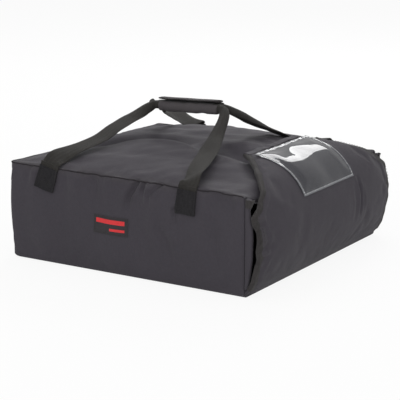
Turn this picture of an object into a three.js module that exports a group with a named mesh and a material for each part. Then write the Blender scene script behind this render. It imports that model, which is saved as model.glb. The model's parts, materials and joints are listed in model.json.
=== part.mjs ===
// Insulated delivery bag for flat food boxes: a padded shell that opens at the front,
// a flap that folds up over the mouth and onto the top, and two webbing loops
// gathered in one wrapped grip. Millimetres, +Z up, +X across the mouth, the flap
// towards -Y. The origin is the middle of the base, on the surface it stands on.
import * as THREE from 'three';

// Body of the bag
const bagWidth = 424;
const bagDepth = 422;
const sideHeight = 152;
const farEdgeDrop = 7;

// Padded wall, from the outside in
const seamGap = 0.3;
const shellThick = 1.6;
const foamThick = 5.2;
const liningThick = 1;
const wallDipRoom = 1.2;

// Crowned top
const crownHeight = 30.5;
const crownPeakFromMiddle = 20;
const crownFrontOverhang = 7;
const crownAcrossPower = 1.7;
const crownAlongBackPower = 2.2;
const crownAlongFrontPower = 3;
const valleyDepthShare = 0.3;
const valleyHalfWidth = 28;
const mouthFall = 13.5;
const mouthFallLength = 24;
const mouthFallSidePower = 12;
const topShares = [0.035, 0.085, 0.15, 0.23, 0.33, 0.45, 0.57, 0.69, 0.79, 0.87, 0.93];
const topStepsAtMouth = 3;
const topStepsBehind = 11;

// Flap, as a chain of arcs seen from the side
const bellyOut = 35.5;
const bellyHeight = 76;
const lowRadius = 98;
const lowTurn = 36;
const highRadius = 136;
const highTurn = 21.5;
const shoulderRadius = 61;
const shoulderTurn = 44.5;
const tipRadius = 298;
const tipTurn = 15;
const flapSideInset = 1.5;
const hingeGap = 0.5;
const edgeRound = 10;
const edgeRoundFrom = 150;
const edgeRoundPower = 1.5;
const edgeRoundHeight = 50;
const acrossShares = [0.4, 0.72, 0.9];
const rollSteps = 3;
const frontSteps = 9;
const tipSteps = 12;

// Tapered tip of the flap and what is sewn on it
const tipEndWidth = 152;
const tipTaperPower = 1.15;
const tapeThick = 1;
const tapeFold = 8;
const tapeClear = 0.75;
const bindingStart = 3;
const pocketWidth = 160;
const pocketHeight = 104;
const pocketFromHem = 20;
const filmThick = 0.7;
const hookStripWidth = 110;
const hookStripLength = 25;
const hookStripFromHem = 10;
const hookThick = 1.4;
const hookSteps = 2;
const loopThick = 1.4;
const loopStripReach = 5;
const loopStripFromMouth = 45;
const loopStripLength = 27;

// Rolled hems and corner tabs of the mouth, the hems by height and depth
const hemFoot = 24;
const hemFootDepth = 4;
const hemMiddle = 62;
const hemMiddleDepth = 6.2;
const hemNeck = 131;
const hemShoulder = 137.5;
const hemShoulderDepth = 8.6;
const hemFromTop = 5;
const hemTopDepth = 13;
const hemSteps = 6;
const tabDepth = 13;
const tabHeight = 13;
const tabThick = 1.2;
const tabFromTop = 5;

// Webbing loops
const webbingWidth = 32;
const webbingThick = 2.2;
const foldedWidth = 10;
const foldedThick = 6.6;
const tailLength = 41;
const seamRise = 1.2;
const frontLegFromMouth = 96;
const backLegFromBack = 79.5;
const frontLegLean = 3;
const backLegLean = 16;
const edgeIn = 11;
const gripEntry = 10;
const strapShift = 5.4;
const exitSide = 2;
const wrapClear = 2.6;
const patchHeight = 36;
const patchThick = 1.6;
const legSteps = 18;

// Each leg: its rise over the edge, how far it hangs below a straight line and where
// as a share of its length, how it leaves the grip, and how its face turns and folds
const legShapes = {
  near_front: { edgeUp: 10, sag: 13, placeShare: 0.72, exit: 9, exitRise: -3, turn: 0.75, foldShare: 0.3 },
  near_back: { edgeUp: 8, sag: 5, placeShare: 0.42, exit: 8, exitRise: -1, turn: 0.5, foldShare: 0.7 },
  far_front: { edgeUp: 8, sag: 10, placeShare: 0.6, exit: 8, exitRise: -4, turn: 0.95, foldShare: 0.3 },
  far_back: { edgeUp: 8, sag: 7, placeShare: 0.4, exit: 6, exitRise: -2, turn: 0.45, foldShare: 0.75 },
};
const turnedShare = 0.3;
const levelShare = 0.84;
const gripShare = 0.94;

// Wrapped grip
const gripHeight = 226;
const gripFromMiddle = 13.3;
const gripTilt = 2.7;
const gripLength = 114;
const wrapWidth = 28;
const wrapHeight = 15.4;
const wrapThick = 3;
const wrapCorner = 5;
const wrapCornerSteps = 4;
const lipLength = 108;
const lipThick = 3;
const lipOverhang = 1.8;
const gripHookWidth = 9;
const gripHookLength = 94;
const gripHookThick = 1;

// Woven label
const labelLength = 62;
const labelHeight = 28;
const labelThick = 0.8;
const labelFromMiddle = 20;
const labelCentreHeight = 77.5;

const wallThick = shellThick + foamThick + liningThick + 2 * seamGap;
const halfWidth = bagWidth / 2;
const halfDepth = bagDepth / 2;
const flapHalfWidth = halfWidth - flapSideInset;
const fallHalfWidth = halfWidth * topShares[topShares.length - 1];

const layers = [
  { name: 'shell', inset: 0, thick: shellThick, color: 0x45424a, roughness: 0.82 },
  { name: 'foam', inset: shellThick + seamGap, thick: foamThick, color: 0xd9d7d0, roughness: 0.95 },
  {
    name: 'lining',
    inset: shellThick + foamThick + 2 * seamGap,
    thick: liningThick,
    color: 0x2b2a2e,
    roughness: 0.6,
  },
];
const looks = {
  webbing: { color: 0x4a4a44, roughness: 0.8 },
  patch: { color: 0x2e2e2d, roughness: 0.85 },
  binding: { color: 0x5d5d57, roughness: 0.85 },
  fabric: { color: 0x45424a, roughness: 0.82 },
  film: { color: 0xd7dbe2, roughness: 0.12 },
  hook: { color: 0x242426, roughness: 0.95 },
  label: { color: 0x17171a, roughness: 0.7 },
};

const bag = new THREE.Group();

// Helpers

function addPiece(name, geometry, look, parent = bag) {
  const material = new THREE.MeshStandardMaterial({
    color: look.color,
    roughness: look.roughness,
    metalness: 0,
  });
  const mesh = new THREE.Mesh(geometry, material);
  mesh.name = name;
  parent.add(mesh);
  return mesh;
}

function capTriangles(ring) {
  const normal = new THREE.Vector3();
  ring.forEach((point, index) => {
    normal.add(new THREE.Vector3().crossVectors(point, ring[(index + 1) % ring.length]));
  });
  normal.normalize();
  const spin = new THREE.Quaternion().setFromUnitVectors(normal, new THREE.Vector3(0, 0, 1));
  const flat = ring.map((point) => {
    const turned = point.clone().applyQuaternion(spin);
    return new THREE.Vector2(turned.x, turned.y);
  });
  return THREE.ShapeUtils.triangulateShape(flat, []);
}

function signedVolume(points, triangles) {
  return triangles.reduce((sum, [a, b, c]) => {
    const cross = new THREE.Vector3().crossVectors(points[b], points[c]);
    return sum + points[a].dot(cross);
  }, 0);
}

// A closed solid skinned over rings that all have the same number of points
function loft(rings) {
  const count = rings[0].length;
  const points = rings.flat();
  const triangles = [];
  for (let i = 0; i + 1 < rings.length; i += 1) {
    for (let j = 0; j < count; j += 1) {
      const next = (j + 1) % count;
      const [a, b] = [i * count + j, i * count + next];
      const [c, d] = [b + count, a + count];
      const shortFirst = points[a].distanceTo(points[c]) < points[b].distanceTo(points[d]);
      const halves = shortFirst ? [[a, b, c], [a, c, d]] : [[a, b, d], [b, c, d]];
      triangles.push(...halves);
    }
  }
  const last = (rings.length - 1) * count;
  capTriangles(rings[0]).forEach(([a, b, c]) => triangles.push([a, c, b]));
  capTriangles(rings[rings.length - 1]).forEach(([a, b, c]) => {
    triangles.push([last + a, last + b, last + c]);
  });
  const outward = signedVolume(points, triangles) > 0;
  const geometry = new THREE.BufferGeometry();
  geometry.setFromPoints(points);
  geometry.setIndex(triangles.flatMap(([a, b, c]) => (outward ? [a, b, c] : [a, c, b])));
  geometry.computeVertexNormals();
  return geometry;
}

function spread(from, to, steps) {
  return Array.from({ length: steps + 1 }, (unused, k) => from + ((to - from) * k) / steps);
}

// Height of the outside of the top

function edgeHeight(x) {
  const fromNearSide = x + halfWidth;
  return sideHeight - farEdgeDrop * (fromNearSide / bagWidth);
}

function crownAlong(y) {
  const fromPeak = y - crownPeakFromMiddle;
  if (fromPeak > 0) {
    const backSpan = halfDepth - crownPeakFromMiddle;
    return 1 - (fromPeak / backSpan) ** crownAlongBackPower;
  }
  const frontSpan = halfDepth + crownFrontOverhang;
  return 1 - (-fromPeak / frontSpan) ** crownAlongFrontPower;
}

function crownAcross(x) {
  const dome = 1 - Math.min(1, Math.abs(x) / halfWidth) ** crownAcrossPower;
  const valley = 1 - valleyDepthShare * Math.exp(-((x / valleyHalfWidth) ** 2));
  return dome * valley;
}

// The front end of the top rolls down at the mouth, under the flap
function frontFall(x, y) {
  const reach = Math.max(0, (mouthFallLength - halfDepth - y) / mouthFallLength);
  const fromMiddle = Math.min(1, Math.abs(x) / fallHalfWidth);
  return mouthFall * reach ** 2 * (1 - fromMiddle ** mouthFallSidePower);
}

function topHeight(x, y) {
  return edgeHeight(x) + crownHeight * crownAcross(x) * crownAlong(y) - frontFall(x, y);
}

const topPlacesRight = topShares.map((share) => share * halfWidth);
const topPlacesAcross = [...topPlacesRight.map((x) => -x).reverse(), 0, ...topPlacesRight];
const loopStripFront = loopStripFromMouth - halfDepth;
const loopStripBack = loopStripFront + loopStripLength;
const topPlacesAlong = [
  ...spread(-halfDepth, mouthFallLength - halfDepth, topStepsAtMouth),
  loopStripFront,
  ...spread(loopStripBack, halfDepth - wallThick - 2 * seamGap, topStepsBehind),
];

// The shared grid places, cut short at the two ends of a layer
function between(places, from, to) {
  return [from, ...places.filter((place) => place > from && place < to), to];
}

// A sheet that follows the top between two depths below its outside
function topSheet(xs, ys, depthFrom, depthTo) {
  const rings = xs.map((x) => {
    const over = ys.map((y) => new THREE.Vector3(x, y, topHeight(x, y) - depthFrom));
    const under = ys.map((y) => new THREE.Vector3(x, y, topHeight(x, y) - depthTo));
    return over.concat(under.reverse());
  });
  return loft(rings);
}

// A panel between two x places whose upper edge follows the sloping rim
function uprightPanel(x0, x1, y0, y1, foot, rimDrop) {
  const rings = [x0, x1].map((x) => {
    const rim = edgeHeight(x) - rimDrop;
    return [
      new THREE.Vector3(x, y0, foot),
      new THREE.Vector3(x, y1, foot),
      new THREE.Vector3(x, y1, rim),
      new THREE.Vector3(x, y0, rim),
    ];
  });
  return loft(rings);
}

// Padded walls: outer shell, foam and lining of the five closed sides. The walls of
// each layer stand on its base, and its top lies between them.

function addWalls(layer) {
  const outer = layer.inset;
  const inner = layer.inset + layer.thick;
  const foot = inner + seamGap;
  const rimDrop = outer > 0 ? outer + wallDipRoom : 0;
  const wide = halfWidth - outer;
  const back = halfDepth - outer;
  const inside = halfWidth - inner - seamGap;
  const backInside = halfDepth - inner - seamGap;

  const base = new THREE.BoxGeometry(2 * wide, back + halfDepth, layer.thick);
  base.translate(0, (back - halfDepth) / 2, (outer + inner) / 2);
  addPiece(`${layer.name}_base`, base, layer);

  const thin = halfWidth - inner;
  const left = uprightPanel(-wide, -thin, -halfDepth, back, foot, rimDrop);
  const right = uprightPanel(thin, wide, -halfDepth, back, foot, rimDrop);
  const rear = uprightPanel(-inside, inside, halfDepth - inner, back, foot, rimDrop);
  addPiece(`${layer.name}_left`, left, layer);
  addPiece(`${layer.name}_right`, right, layer);
  addPiece(`${layer.name}_back`, rear, layer);

  const xs = between(topPlacesAcross, -inside, inside);
  const ys = between(topPlacesAlong, -halfDepth, backInside);
  addPiece(`${layer.name}_top`, topSheet(xs, ys, outer, inner), layer);
}

// Side view of the flap: arcs given by centre, radius and the span of their normals

function arcPoint(arc, angle) {
  const turn = THREE.MathUtils.degToRad(angle);
  const normal = new THREE.Vector2(Math.cos(turn), Math.sin(turn));
  const place = arc.centre.clone().addScaledVector(normal, arc.radius);
  return { place, normal };
}

function arcAfter(arc, angle, radius, turn) {
  const { place, normal } = arcPoint(arc, angle);
  return { centre: place.addScaledVector(normal, -radius), radius, from: angle, to: angle + turn };
}

const lowArc = {
  centre: new THREE.Vector2(bellyOut - lowRadius, bellyHeight),
  radius: lowRadius,
  from: -lowTurn,
  to: 0,
};
const highArc = arcAfter(lowArc, lowArc.to, highRadius, highTurn);
const shoulderArc = arcAfter(highArc, highArc.to, shoulderRadius, shoulderTurn);
const tipArc = arcAfter(shoulderArc, shoulderArc.to, tipRadius, tipTurn);

function arcLength(arc) {
  return THREE.MathUtils.degToRad(arc.to - arc.from) * arc.radius;
}

function chainLength(arcs) {
  return arcs.reduce((sum, arc) => sum + arcLength(arc), 0);
}

// Place on the outside of a chain of arcs, at a distance from its start
function chainAt(arcs, distance) {
  const [arc, ...rest] = arcs;
  const length = arcLength(arc);
  if (rest.length > 0 && distance > length) return chainAt(rest, distance - length);
  return arcPoint(arc, arc.from + THREE.MathUtils.radToDeg(distance / arc.radius));
}

const frontArcs = [lowArc, highArc];
const frontLength = chainLength(frontArcs);
const tipArcs = [shoulderArc, tipArc];
const tipLength = chainLength(tipArcs);

function tipAt(distance) {
  return chainAt(tipArcs, distance);
}

function tipHalfWidth(distance) {
  const narrow = tipEndWidth / 2;
  const left = Math.max(0, 1 - distance / tipLength);
  return narrow + (flapHalfWidth - narrow) * left ** tipTaperPower;
}

// The padded flap thins towards its sides, most of all above the foot
function edgeInset(x, height) {
  const above = THREE.MathUtils.smoothstep(height, 0, edgeRoundHeight);
  const beside = Math.max(0, Math.abs(x) - edgeRoundFrom) / (halfWidth - edgeRoundFrom);
  return edgeRound * above * beside ** edgeRoundPower;
}

// World place of a station, at a depth inside the outer surface of the flap
function flapPoint({ place, normal }, x, depth) {
  const inset = depth + edgeInset(x, place.y);
  return new THREE.Vector3(x, -halfDepth - place.x + inset * normal.x, place.y - inset * normal.y);
}

// Place on the roll under the hinge. Each depth ends flush with the body's front.
function rollPoint(share, x, depth) {
  const height = bellyHeight - lowRadius * Math.sin(THREE.MathUtils.degToRad(lowTurn));
  const radius = lowRadius - depth - edgeInset(x, height * (1 - share));
  const end = -THREE.MathUtils.radToDeg(Math.acos((lowRadius - bellyOut + seamGap) / radius));
  const start = -lowTurn - THREE.MathUtils.radToDeg(hingeGap / 2 / lowRadius);
  const turn = THREE.MathUtils.degToRad(THREE.MathUtils.lerp(start, end, share));
  const out = lowArc.centre.x + radius * Math.cos(turn);
  return new THREE.Vector3(x, -halfDepth - out, lowArc.centre.y + radius * Math.sin(turn));
}

// Places across a padded layer, closer together near its two sides
function acrossPlaces(width) {
  const fold = width - tapeFold;
  const side = [...acrossShares.map((share) => share * fold), fold, width];
  return [...side.map((x) => -x).reverse(), 0, ...side];
}

function paddedLayer(stations, pointAt, widths, depthFrom, depthTo, places = acrossPlaces) {
  const rings = stations.map((station, k) => {
    const xs = places(widths[k]);
    const outside = xs.map((x) => pointAt(station, x, depthFrom));
    const inside = xs.map((x) => pointAt(station, x, depthTo));
    return outside.concat(inside.reverse());
  });
  return loft(rings);
}

const tipPlaces = [hingeGap / 2, ...spread(bindingStart, tipLength, tipSteps)];

function addFlap(layer) {
  const outer = layer.inset;
  const inner = layer.inset + layer.thick;
  const rollShares = spread(0, 1, rollSteps);
  const rollWidths = rollShares.map(() => flapHalfWidth);
  addPiece(`${layer.name}_roll`, paddedLayer(rollShares, rollPoint, rollWidths, outer, inner), layer);

  const frontPlaces = spread(hingeGap / 2, frontLength - hingeGap / 2, frontSteps);
  const frontStations = frontPlaces.map((distance) => chainAt(frontArcs, distance));
  const frontWidths = frontPlaces.map(() => flapHalfWidth);
  const front = paddedLayer(frontStations, flapPoint, frontWidths, outer, inner);
  addPiece(`${layer.name}_front`, front, layer);

  const tip = paddedLayer(tipPlaces.map(tipAt), flapPoint, tipPlaces.map(tipHalfWidth), outer, inner);
  addPiece(`${layer.name}_tip`, tip, layer);
}

// Folded tape round an edge, as places across the edge and depths in the wall
const tapeSection = [
  [-tapeFold, -seamGap - tapeThick],
  [tapeClear + tapeThick, -seamGap - tapeThick],
  [tapeClear + tapeThick, wallThick + seamGap + tapeThick],
  [-tapeFold, wallThick + seamGap + tapeThick],
  [-tapeFold, wallThick + seamGap],
  [tapeClear, wallThick + seamGap],
  [tapeClear, -seamGap],
  [-tapeFold, -seamGap],
];

function addBindings() {
  [['left', -1], ['right', 1]].forEach(([side, sign]) => {
    const rings = tipPlaces.slice(1).map((distance) => {
      const station = tipAt(distance);
      const edge = tipHalfWidth(distance);
      return tapeSection.map(([across, depth]) => flapPoint(station, sign * (edge + across), depth));
    });
    addPiece(`tip_binding_${side}`, loft(rings), looks.binding);
  });

  const end = tipAt(tipLength);
  const hemReach = tipEndWidth / 2 - tapeFold - seamGap;
  const rings = [-hemReach, hemReach].map((x) => tapeSection.map(([across, depth]) => {
    const point = flapPoint(end, x, depth);
    point.y += across * end.normal.y;
    point.z += across * end.normal.x;
    return point;
  }));
  addPiece('tip_binding_hem', loft(rings), looks.binding);
}

function tipStrip(from, to, steps, width, depthFrom, depthTo) {
  const stations = spread(from, to, steps).map(tipAt);
  const widths = stations.map(() => width / 2);
  const sides = (half) => [-half, half];
  return paddedLayer(stations, flapPoint, widths, depthFrom, depthTo, sides);
}

function addTipTrim() {
  const pocketTop = tipLength - pocketFromHem;
  const pocketFoot = pocketTop - pocketHeight;
  const pocket = tipStrip(pocketFoot, pocketTop, tipSteps, pocketWidth, -seamGap - filmThick, -seamGap);
  addPiece('ticket_pocket', pocket, looks.film);

  const stripTop = tipLength - hookStripFromHem;
  const under = wallThick + seamGap;
  const stripFoot = stripTop - hookStripLength;
  const hook = tipStrip(stripFoot, stripTop, hookSteps, hookStripWidth, under, under + hookThick);
  addPiece('flap_hook_strip', hook, looks.hook);

  const reach = topPlacesRight[loopStripReach - 1];
  const xs = between(topPlacesAcross, -reach, reach);
  const ys = [loopStripFront, loopStripBack];
  addPiece('top_loop_strip', topSheet(xs, ys, -seamGap - loopThick, -seamGap), looks.hook);
}

// Rolled hems at the two sides of the mouth, and the tabs that end them

const hemSection = spread(0, Math.PI, hemSteps).map((turn) => [Math.cos(turn), Math.sin(turn)]);

function addMouth() {
  [['left', -1], ['right', 1]].forEach(([side, sign]) => {
    const edge = edgeHeight(sign * halfWidth);
    const levels = [
      [hemFoot, hemFootDepth],
      [hemMiddle, hemMiddleDepth],
      [hemNeck, hemMiddleDepth],
      [hemShoulder, hemShoulderDepth],
      [edge - hemFromTop, hemTopDepth],
    ];
    const rings = levels.map(([z, depth]) => hemSection.map(([across, out]) => {
      const x = sign * (halfWidth - wallThick / 2) + (across * wallThick) / 2;
      return new THREE.Vector3(x, -halfDepth - seamGap - out * depth, z);
    }));
    addPiece(`mouth_hem_${side}`, loft(rings), looks.fabric);

    const tab = new THREE.BoxGeometry(tabThick, tabDepth, tabHeight);
    tab.translate(
      sign * (halfWidth + seamGap + tabThick / 2),
      -halfDepth - seamGap - tabDepth / 2,
      edge - tabFromTop - tabHeight / 2,
    );
    addPiece(`mouth_tab_${side}`, tab, looks.binding);
  });
}

// Flat straps: stations with a centre, a direction, a face normal and a section

function ribbon(stations) {
  const rings = stations.map(({ centre, along, face, width, thick }) => {
    const across = new THREE.Vector3().crossVectors(face, along).normalize();
    const up = new THREE.Vector3().crossVectors(along, across).normalize();
    const corner = (a, b) => centre.clone()
      .addScaledVector(across, (a * width) / 2)
      .addScaledVector(up, (b * thick) / 2);
    return [corner(-1, -1), corner(1, -1), corner(1, 1), corner(-1, 1)];
  });
  return loft(rings);
}

const tilt = THREE.MathUtils.degToRad(gripTilt);
const gripAxis = new THREE.Vector3(0, Math.cos(tilt), -Math.sin(tilt));
const gripUp = new THREE.Vector3(0, Math.sin(tilt), Math.cos(tilt));
const gripCentre = new THREE.Vector3(0, gripFromMiddle, gripHeight);
const wrapFloor = -(wrapHeight + lipThick) / 2 + wrapThick;

function gripPoint(along, up) {
  return gripCentre.clone().addScaledVector(gripAxis, along).addScaledVector(gripUp, up);
}

// A leg's foot at the top of its sewn tail, with the direction of the tail
function legFoot(side, front) {
  const lean = THREE.MathUtils.degToRad(front ? frontLegLean : backLegLean);
  const along = new THREE.Vector3(0, -Math.sin(lean), Math.cos(lean));
  const x = side * (halfWidth + seamGap + webbingThick / 2);
  const y = front ? frontLegFromMouth - halfDepth : halfDepth - backLegFromBack;
  const lowCorner = (webbingWidth / 2) * Math.sin(lean);
  const z = edgeHeight(side * halfWidth) + lowCorner + seamRise;
  return { centre: new THREE.Vector3(x, y, z), along };
}

function legCurve(side, front, height) {
  const shape = legShapes[`${side < 0 ? 'near' : 'far'}_${front ? 'front' : 'back'}`];
  const foot = legFoot(side, front);
  const end = front ? -1 : 1;
  const entry = gripPoint(end * (gripLength / 2 - gripEntry), height);
  entry.x += side * strapShift;
  const exit = gripPoint(end * (gripLength / 2 + shape.exit), height + shape.exitRise);
  exit.x += side * (strapShift + exitSide);
  const overEdge = foot.centre.clone().addScaledVector(foot.along, shape.edgeUp);
  overEdge.x -= side * edgeIn;
  const middle = overEdge.clone().lerp(exit, shape.placeShare);
  middle.z -= shape.sag;
  const places = [foot.centre, overEdge, middle, exit, entry];
  return { shape, curve: new THREE.CatmullRomCurve3(places, false, 'centripetal') };
}

// Stations from the seam to the grip, the strap folding in half on the way
function legStations(side, front, height) {
  const { shape, curve } = legCurve(side, front, height);
  const outward = new THREE.Vector3(side, 0, 0);
  return spread(0, 1, legSteps).map((share) => {
    const folded = THREE.MathUtils.smoothstep(share, shape.foldShare, gripShare);
    const turned = THREE.MathUtils.smoothstep(share, 0, turnedShare) * shape.turn;
    const level = THREE.MathUtils.smoothstep(share, levelShare, gripShare);
    const along = share > 0 ? curve.getTangentAt(share) : legFoot(side, front).along;
    return {
      centre: curve.getPointAt(share),
      along,
      face: outward.clone().lerp(gripUp, Math.max(turned, level)).normalize(),
      width: THREE.MathUtils.lerp(webbingWidth, foldedWidth, folded),
      thick: THREE.MathUtils.lerp(webbingThick, foldedThick, folded),
    };
  });
}

function reversed(stations) {
  return stations.reverse().map((station) => ({ ...station, along: station.along.clone().negate() }));
}

function addStraps() {
  const height = wrapFloor + wrapClear + foldedThick / 2;
  [['near', -1], ['far', 1]].forEach(([name, side]) => {
    const up = legStations(side, true, height);
    const down = reversed(legStations(side, false, height));
    addPiece(`${name}_strap`, ribbon(up.concat(down)), looks.webbing);

    [['front', true], ['back', false]].forEach(([end, front]) => {
      const foot = legFoot(side, front);
      const face = new THREE.Vector3(side, 0, 0);
      const top = foot.centre.clone().addScaledVector(foot.along, -seamGap);
      const low = top.clone().addScaledVector(foot.along, -tailLength);
      const tail = [low, top].map((centre) => (
        { centre, along: foot.along, face, width: webbingWidth, thick: webbingThick }
      ));
      addPiece(`${name}_${end}_tail`, ribbon(tail), looks.webbing);

      const proud = side * (webbingThick / 2 + seamGap + patchThick / 2);
      const patchFoot = low.clone();
      patchFoot.x += proud;
      const patchHead = patchFoot.clone().addScaledVector(foot.along, patchHeight);
      const patch = [patchFoot, patchHead].map((centre) => (
        { centre, along: foot.along, face, width: webbingWidth, thick: patchThick }
      ));
      addPiece(`${name}_${end}_patch`, ribbon(patch), looks.patch);
    });
  });
}

// Grip: a channel sewn round the straps and a lip that closes over them

function addGrip() {
  const grip = new THREE.Group();
  grip.position.copy(gripCentre);
  grip.rotation.x = -tilt;
  bag.add(grip);

  const half = wrapWidth / 2;
  const inside = half - wrapThick;
  const low = -(wrapHeight + lipThick) / 2;
  const high = low + wrapHeight;
  const section = new THREE.Shape();
  section.moveTo(-half, high);
  section.lineTo(-half, low + wrapCorner);
  section.absarc(-half + wrapCorner, low + wrapCorner, wrapCorner, Math.PI, Math.PI * 3 / 2, false);
  section.absarc(half - wrapCorner, low + wrapCorner, wrapCorner, -Math.PI / 2, 0, false);
  section.lineTo(half, high);
  section.lineTo(inside, high);
  section.lineTo(inside, wrapFloor);
  section.lineTo(-inside, wrapFloor);
  section.lineTo(-inside, high);
  const wrap = new THREE.ExtrudeGeometry(section, {
    depth: gripLength,
    bevelEnabled: false,
    curveSegments: wrapCornerSteps,
  });
  wrap.translate(0, 0, -gripLength / 2);
  wrap.rotateX(Math.PI / 2);
  addPiece('grip_wrap', wrap, looks.fabric, grip);

  const lipWidth = wrapWidth + lipOverhang;
  const lip = new THREE.BoxGeometry(lipWidth, lipLength, lipThick);
  lip.translate(half - lipWidth / 2, 0, high + seamGap + lipThick / 2);
  addPiece('grip_lip', lip, looks.fabric, grip);

  const hook = new THREE.BoxGeometry(gripHookWidth, gripHookLength, gripHookThick);
  hook.translate(-inside + seamGap + gripHookWidth / 2, 0, high - gripHookThick / 2);
  addPiece('grip_hook_strip', hook, looks.hook, grip);
}

function addLabel() {
  const label = new THREE.BoxGeometry(labelThick, labelLength, labelHeight);
  label.translate(-halfWidth - seamGap - labelThick / 2, labelFromMiddle, labelCentreHeight);
  addPiece('side_label', label, looks.label);
}

layers.forEach((layer) => {
  addWalls(layer);
  addFlap(layer);
});
addBindings();
addTipTrim();
addMouth();
addStraps();
addGrip();
addLabel();

export default bag;
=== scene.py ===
"""Looks of an insulated pizza delivery bag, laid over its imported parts.

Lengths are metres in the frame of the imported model: X runs across the mouth,
-Y out of the mouth and Z up. Cloth is padded, puffed and creased; webbing, tape
and trim are laid on it.
"""

from __future__ import annotations

import json
import logging
import math
from collections.abc import Callable, Sequence
from dataclasses import dataclass, field
from enum import Enum
from typing import Any

import bpy
import numpy as np
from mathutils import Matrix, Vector
from mathutils.bvhtree import BVHTree

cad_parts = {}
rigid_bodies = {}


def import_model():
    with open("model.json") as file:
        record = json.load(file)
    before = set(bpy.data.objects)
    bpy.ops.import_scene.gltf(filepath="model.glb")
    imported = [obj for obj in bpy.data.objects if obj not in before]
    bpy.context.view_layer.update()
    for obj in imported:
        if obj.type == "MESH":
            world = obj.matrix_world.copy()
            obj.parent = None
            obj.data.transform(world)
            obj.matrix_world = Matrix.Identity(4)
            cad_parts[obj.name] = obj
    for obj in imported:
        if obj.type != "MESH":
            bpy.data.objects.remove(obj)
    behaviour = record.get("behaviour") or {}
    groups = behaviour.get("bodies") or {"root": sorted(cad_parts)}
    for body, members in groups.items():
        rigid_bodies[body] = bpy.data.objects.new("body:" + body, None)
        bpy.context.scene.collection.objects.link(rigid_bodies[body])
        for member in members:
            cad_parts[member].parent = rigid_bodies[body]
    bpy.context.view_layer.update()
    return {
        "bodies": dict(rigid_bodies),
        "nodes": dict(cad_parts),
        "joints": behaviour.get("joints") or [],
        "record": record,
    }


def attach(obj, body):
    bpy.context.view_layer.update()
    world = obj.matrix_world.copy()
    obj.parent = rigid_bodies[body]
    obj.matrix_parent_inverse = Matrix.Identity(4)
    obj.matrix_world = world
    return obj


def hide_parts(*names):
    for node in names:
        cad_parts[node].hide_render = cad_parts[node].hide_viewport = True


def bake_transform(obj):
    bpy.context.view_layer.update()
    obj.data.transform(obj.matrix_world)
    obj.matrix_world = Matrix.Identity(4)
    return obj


LOG = logging.getLogger("delivery_bag")
Points = np.ndarray
Place = Callable[[Points, Points], Points]
TINY = 1e-9


# Shader nodes


def maths(operation: str, turned: bool = False) -> Callable[..., Value]:
    """A method of a value that adds one Math node, with its operands turned round if asked."""

    def method(self: Value, *others: Any) -> Value:
        """Adds the node to the value's board."""
        operands = (*others, self) if turned else (self, *others)
        return self.board.node("ShaderNodeMath", {"operation": operation}, dict(enumerate(operands)))

    return method


class Value:
    """A number inside a material, which takes part in arithmetic."""

    __add__ = __radd__ = maths("ADD")
    __sub__ = maths("SUBTRACT")
    __rsub__ = maths("SUBTRACT", True)
    __mul__ = __rmul__ = maths("MULTIPLY")
    __truediv__ = maths("DIVIDE")
    sin = maths("SINE")
    size = maths("ABSOLUTE")
    part = maths("FRACT")
    above = maths("MAXIMUM")

    def __init__(self, board: Board, socket: bpy.types.NodeSocket) -> None:
        """Keeps the board that makes the nodes and the socket that gives the number."""
        self.board = board
        self.socket = socket

    def step(self, low: float, high: float) -> Value:
        """Turns smoothly from 0 at low to 1 at high."""
        settings = {"interpolation_type": "SMOOTHSTEP"}
        return self.board.node("ShaderNodeMapRange", settings, {0: self, 1: low, 2: high})


class Board:
    """The nodes of one tree."""

    def __init__(self, tree: bpy.types.NodeTree) -> None:
        """Takes the tree that the nodes go into."""
        self.tree = tree

    def node(
        self,
        kind: str,
        settings: dict[str, Any] | None = None,
        inputs: dict[int | str, Any] | None = None,
        output: int | str = 0,
    ) -> Value:
        """Adds a node.

        Args:
            kind: The node's type.
            settings: Its own settings, set before its sockets.
            inputs: Values or links of its sockets, by name or place.
            output: The socket to give back.

        Returns:
            The chosen output.
        """
        made = self.tree.nodes.new(kind)
        for key, value in (settings or {}).items():
            setattr(made, key, value)
        for key, value in (inputs or {}).items():
            self.feed(made.inputs[key], value)
        return Value(self, made.outputs[output])

    def feed(self, socket: bpy.types.NodeSocket, value: Any) -> None:
        """Links a value to a socket, or sets it there."""
        if isinstance(value, Value):
            self.tree.links.new(value.socket, socket)
        else:
            socket.default_value = value

    def surface(self) -> tuple[Value, Value, Value]:
        """The place along the cloth, in metres, and the whole map as a vector."""
        uv = self.node("ShaderNodeUVMap", {"uv_map": WEAVE_MAP})
        across = self.node("ShaderNodeSeparateXYZ", None, {0: uv}, 0)
        along = self.node("ShaderNodeSeparateXYZ", None, {0: uv}, 1)
        return across, along, uv

    def space(self) -> Value:
        """The place in the frame of the object."""
        return self.node("ShaderNodeTexCoord", None, None, "Object")

    def noise(self, where: Value, scale: float, detail: float = 3.0, rough: float = 0.55) -> Value:
        """Cloudy noise from about 0 to 1."""
        inputs = {"Vector": where, "Scale": scale, "Detail": detail, "Roughness": rough}
        return self.node("ShaderNodeTexNoise", None, inputs)

    def mix(self, share: Any, first: Any, second: Any) -> Value:
        """A colour between two."""
        settings = {"data_type": "RGBA"}
        return self.node("ShaderNodeMix", settings, {0: share, 6: first, 7: second}, 2)

    def bump(self, height: Any, distance: float, over: Any = None) -> Value:
        """Relief, laid over another relief if one is given."""
        inputs = {"Strength": 1.0, "Distance": distance, "Height": height}
        if over is not None:
            inputs["Normal"] = over
        return self.node("ShaderNodeBump", None, inputs)

    def lay_over(self, share: Value, below: Value, above: Value, output: str) -> None:
        """Mixes two shaders by a share and feeds the named output node."""
        mixed = self.node("ShaderNodeMixShader", None, {0: share, 1: below, 2: above})
        self.feed(self.tree.nodes[output].inputs[0], mixed)


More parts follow.
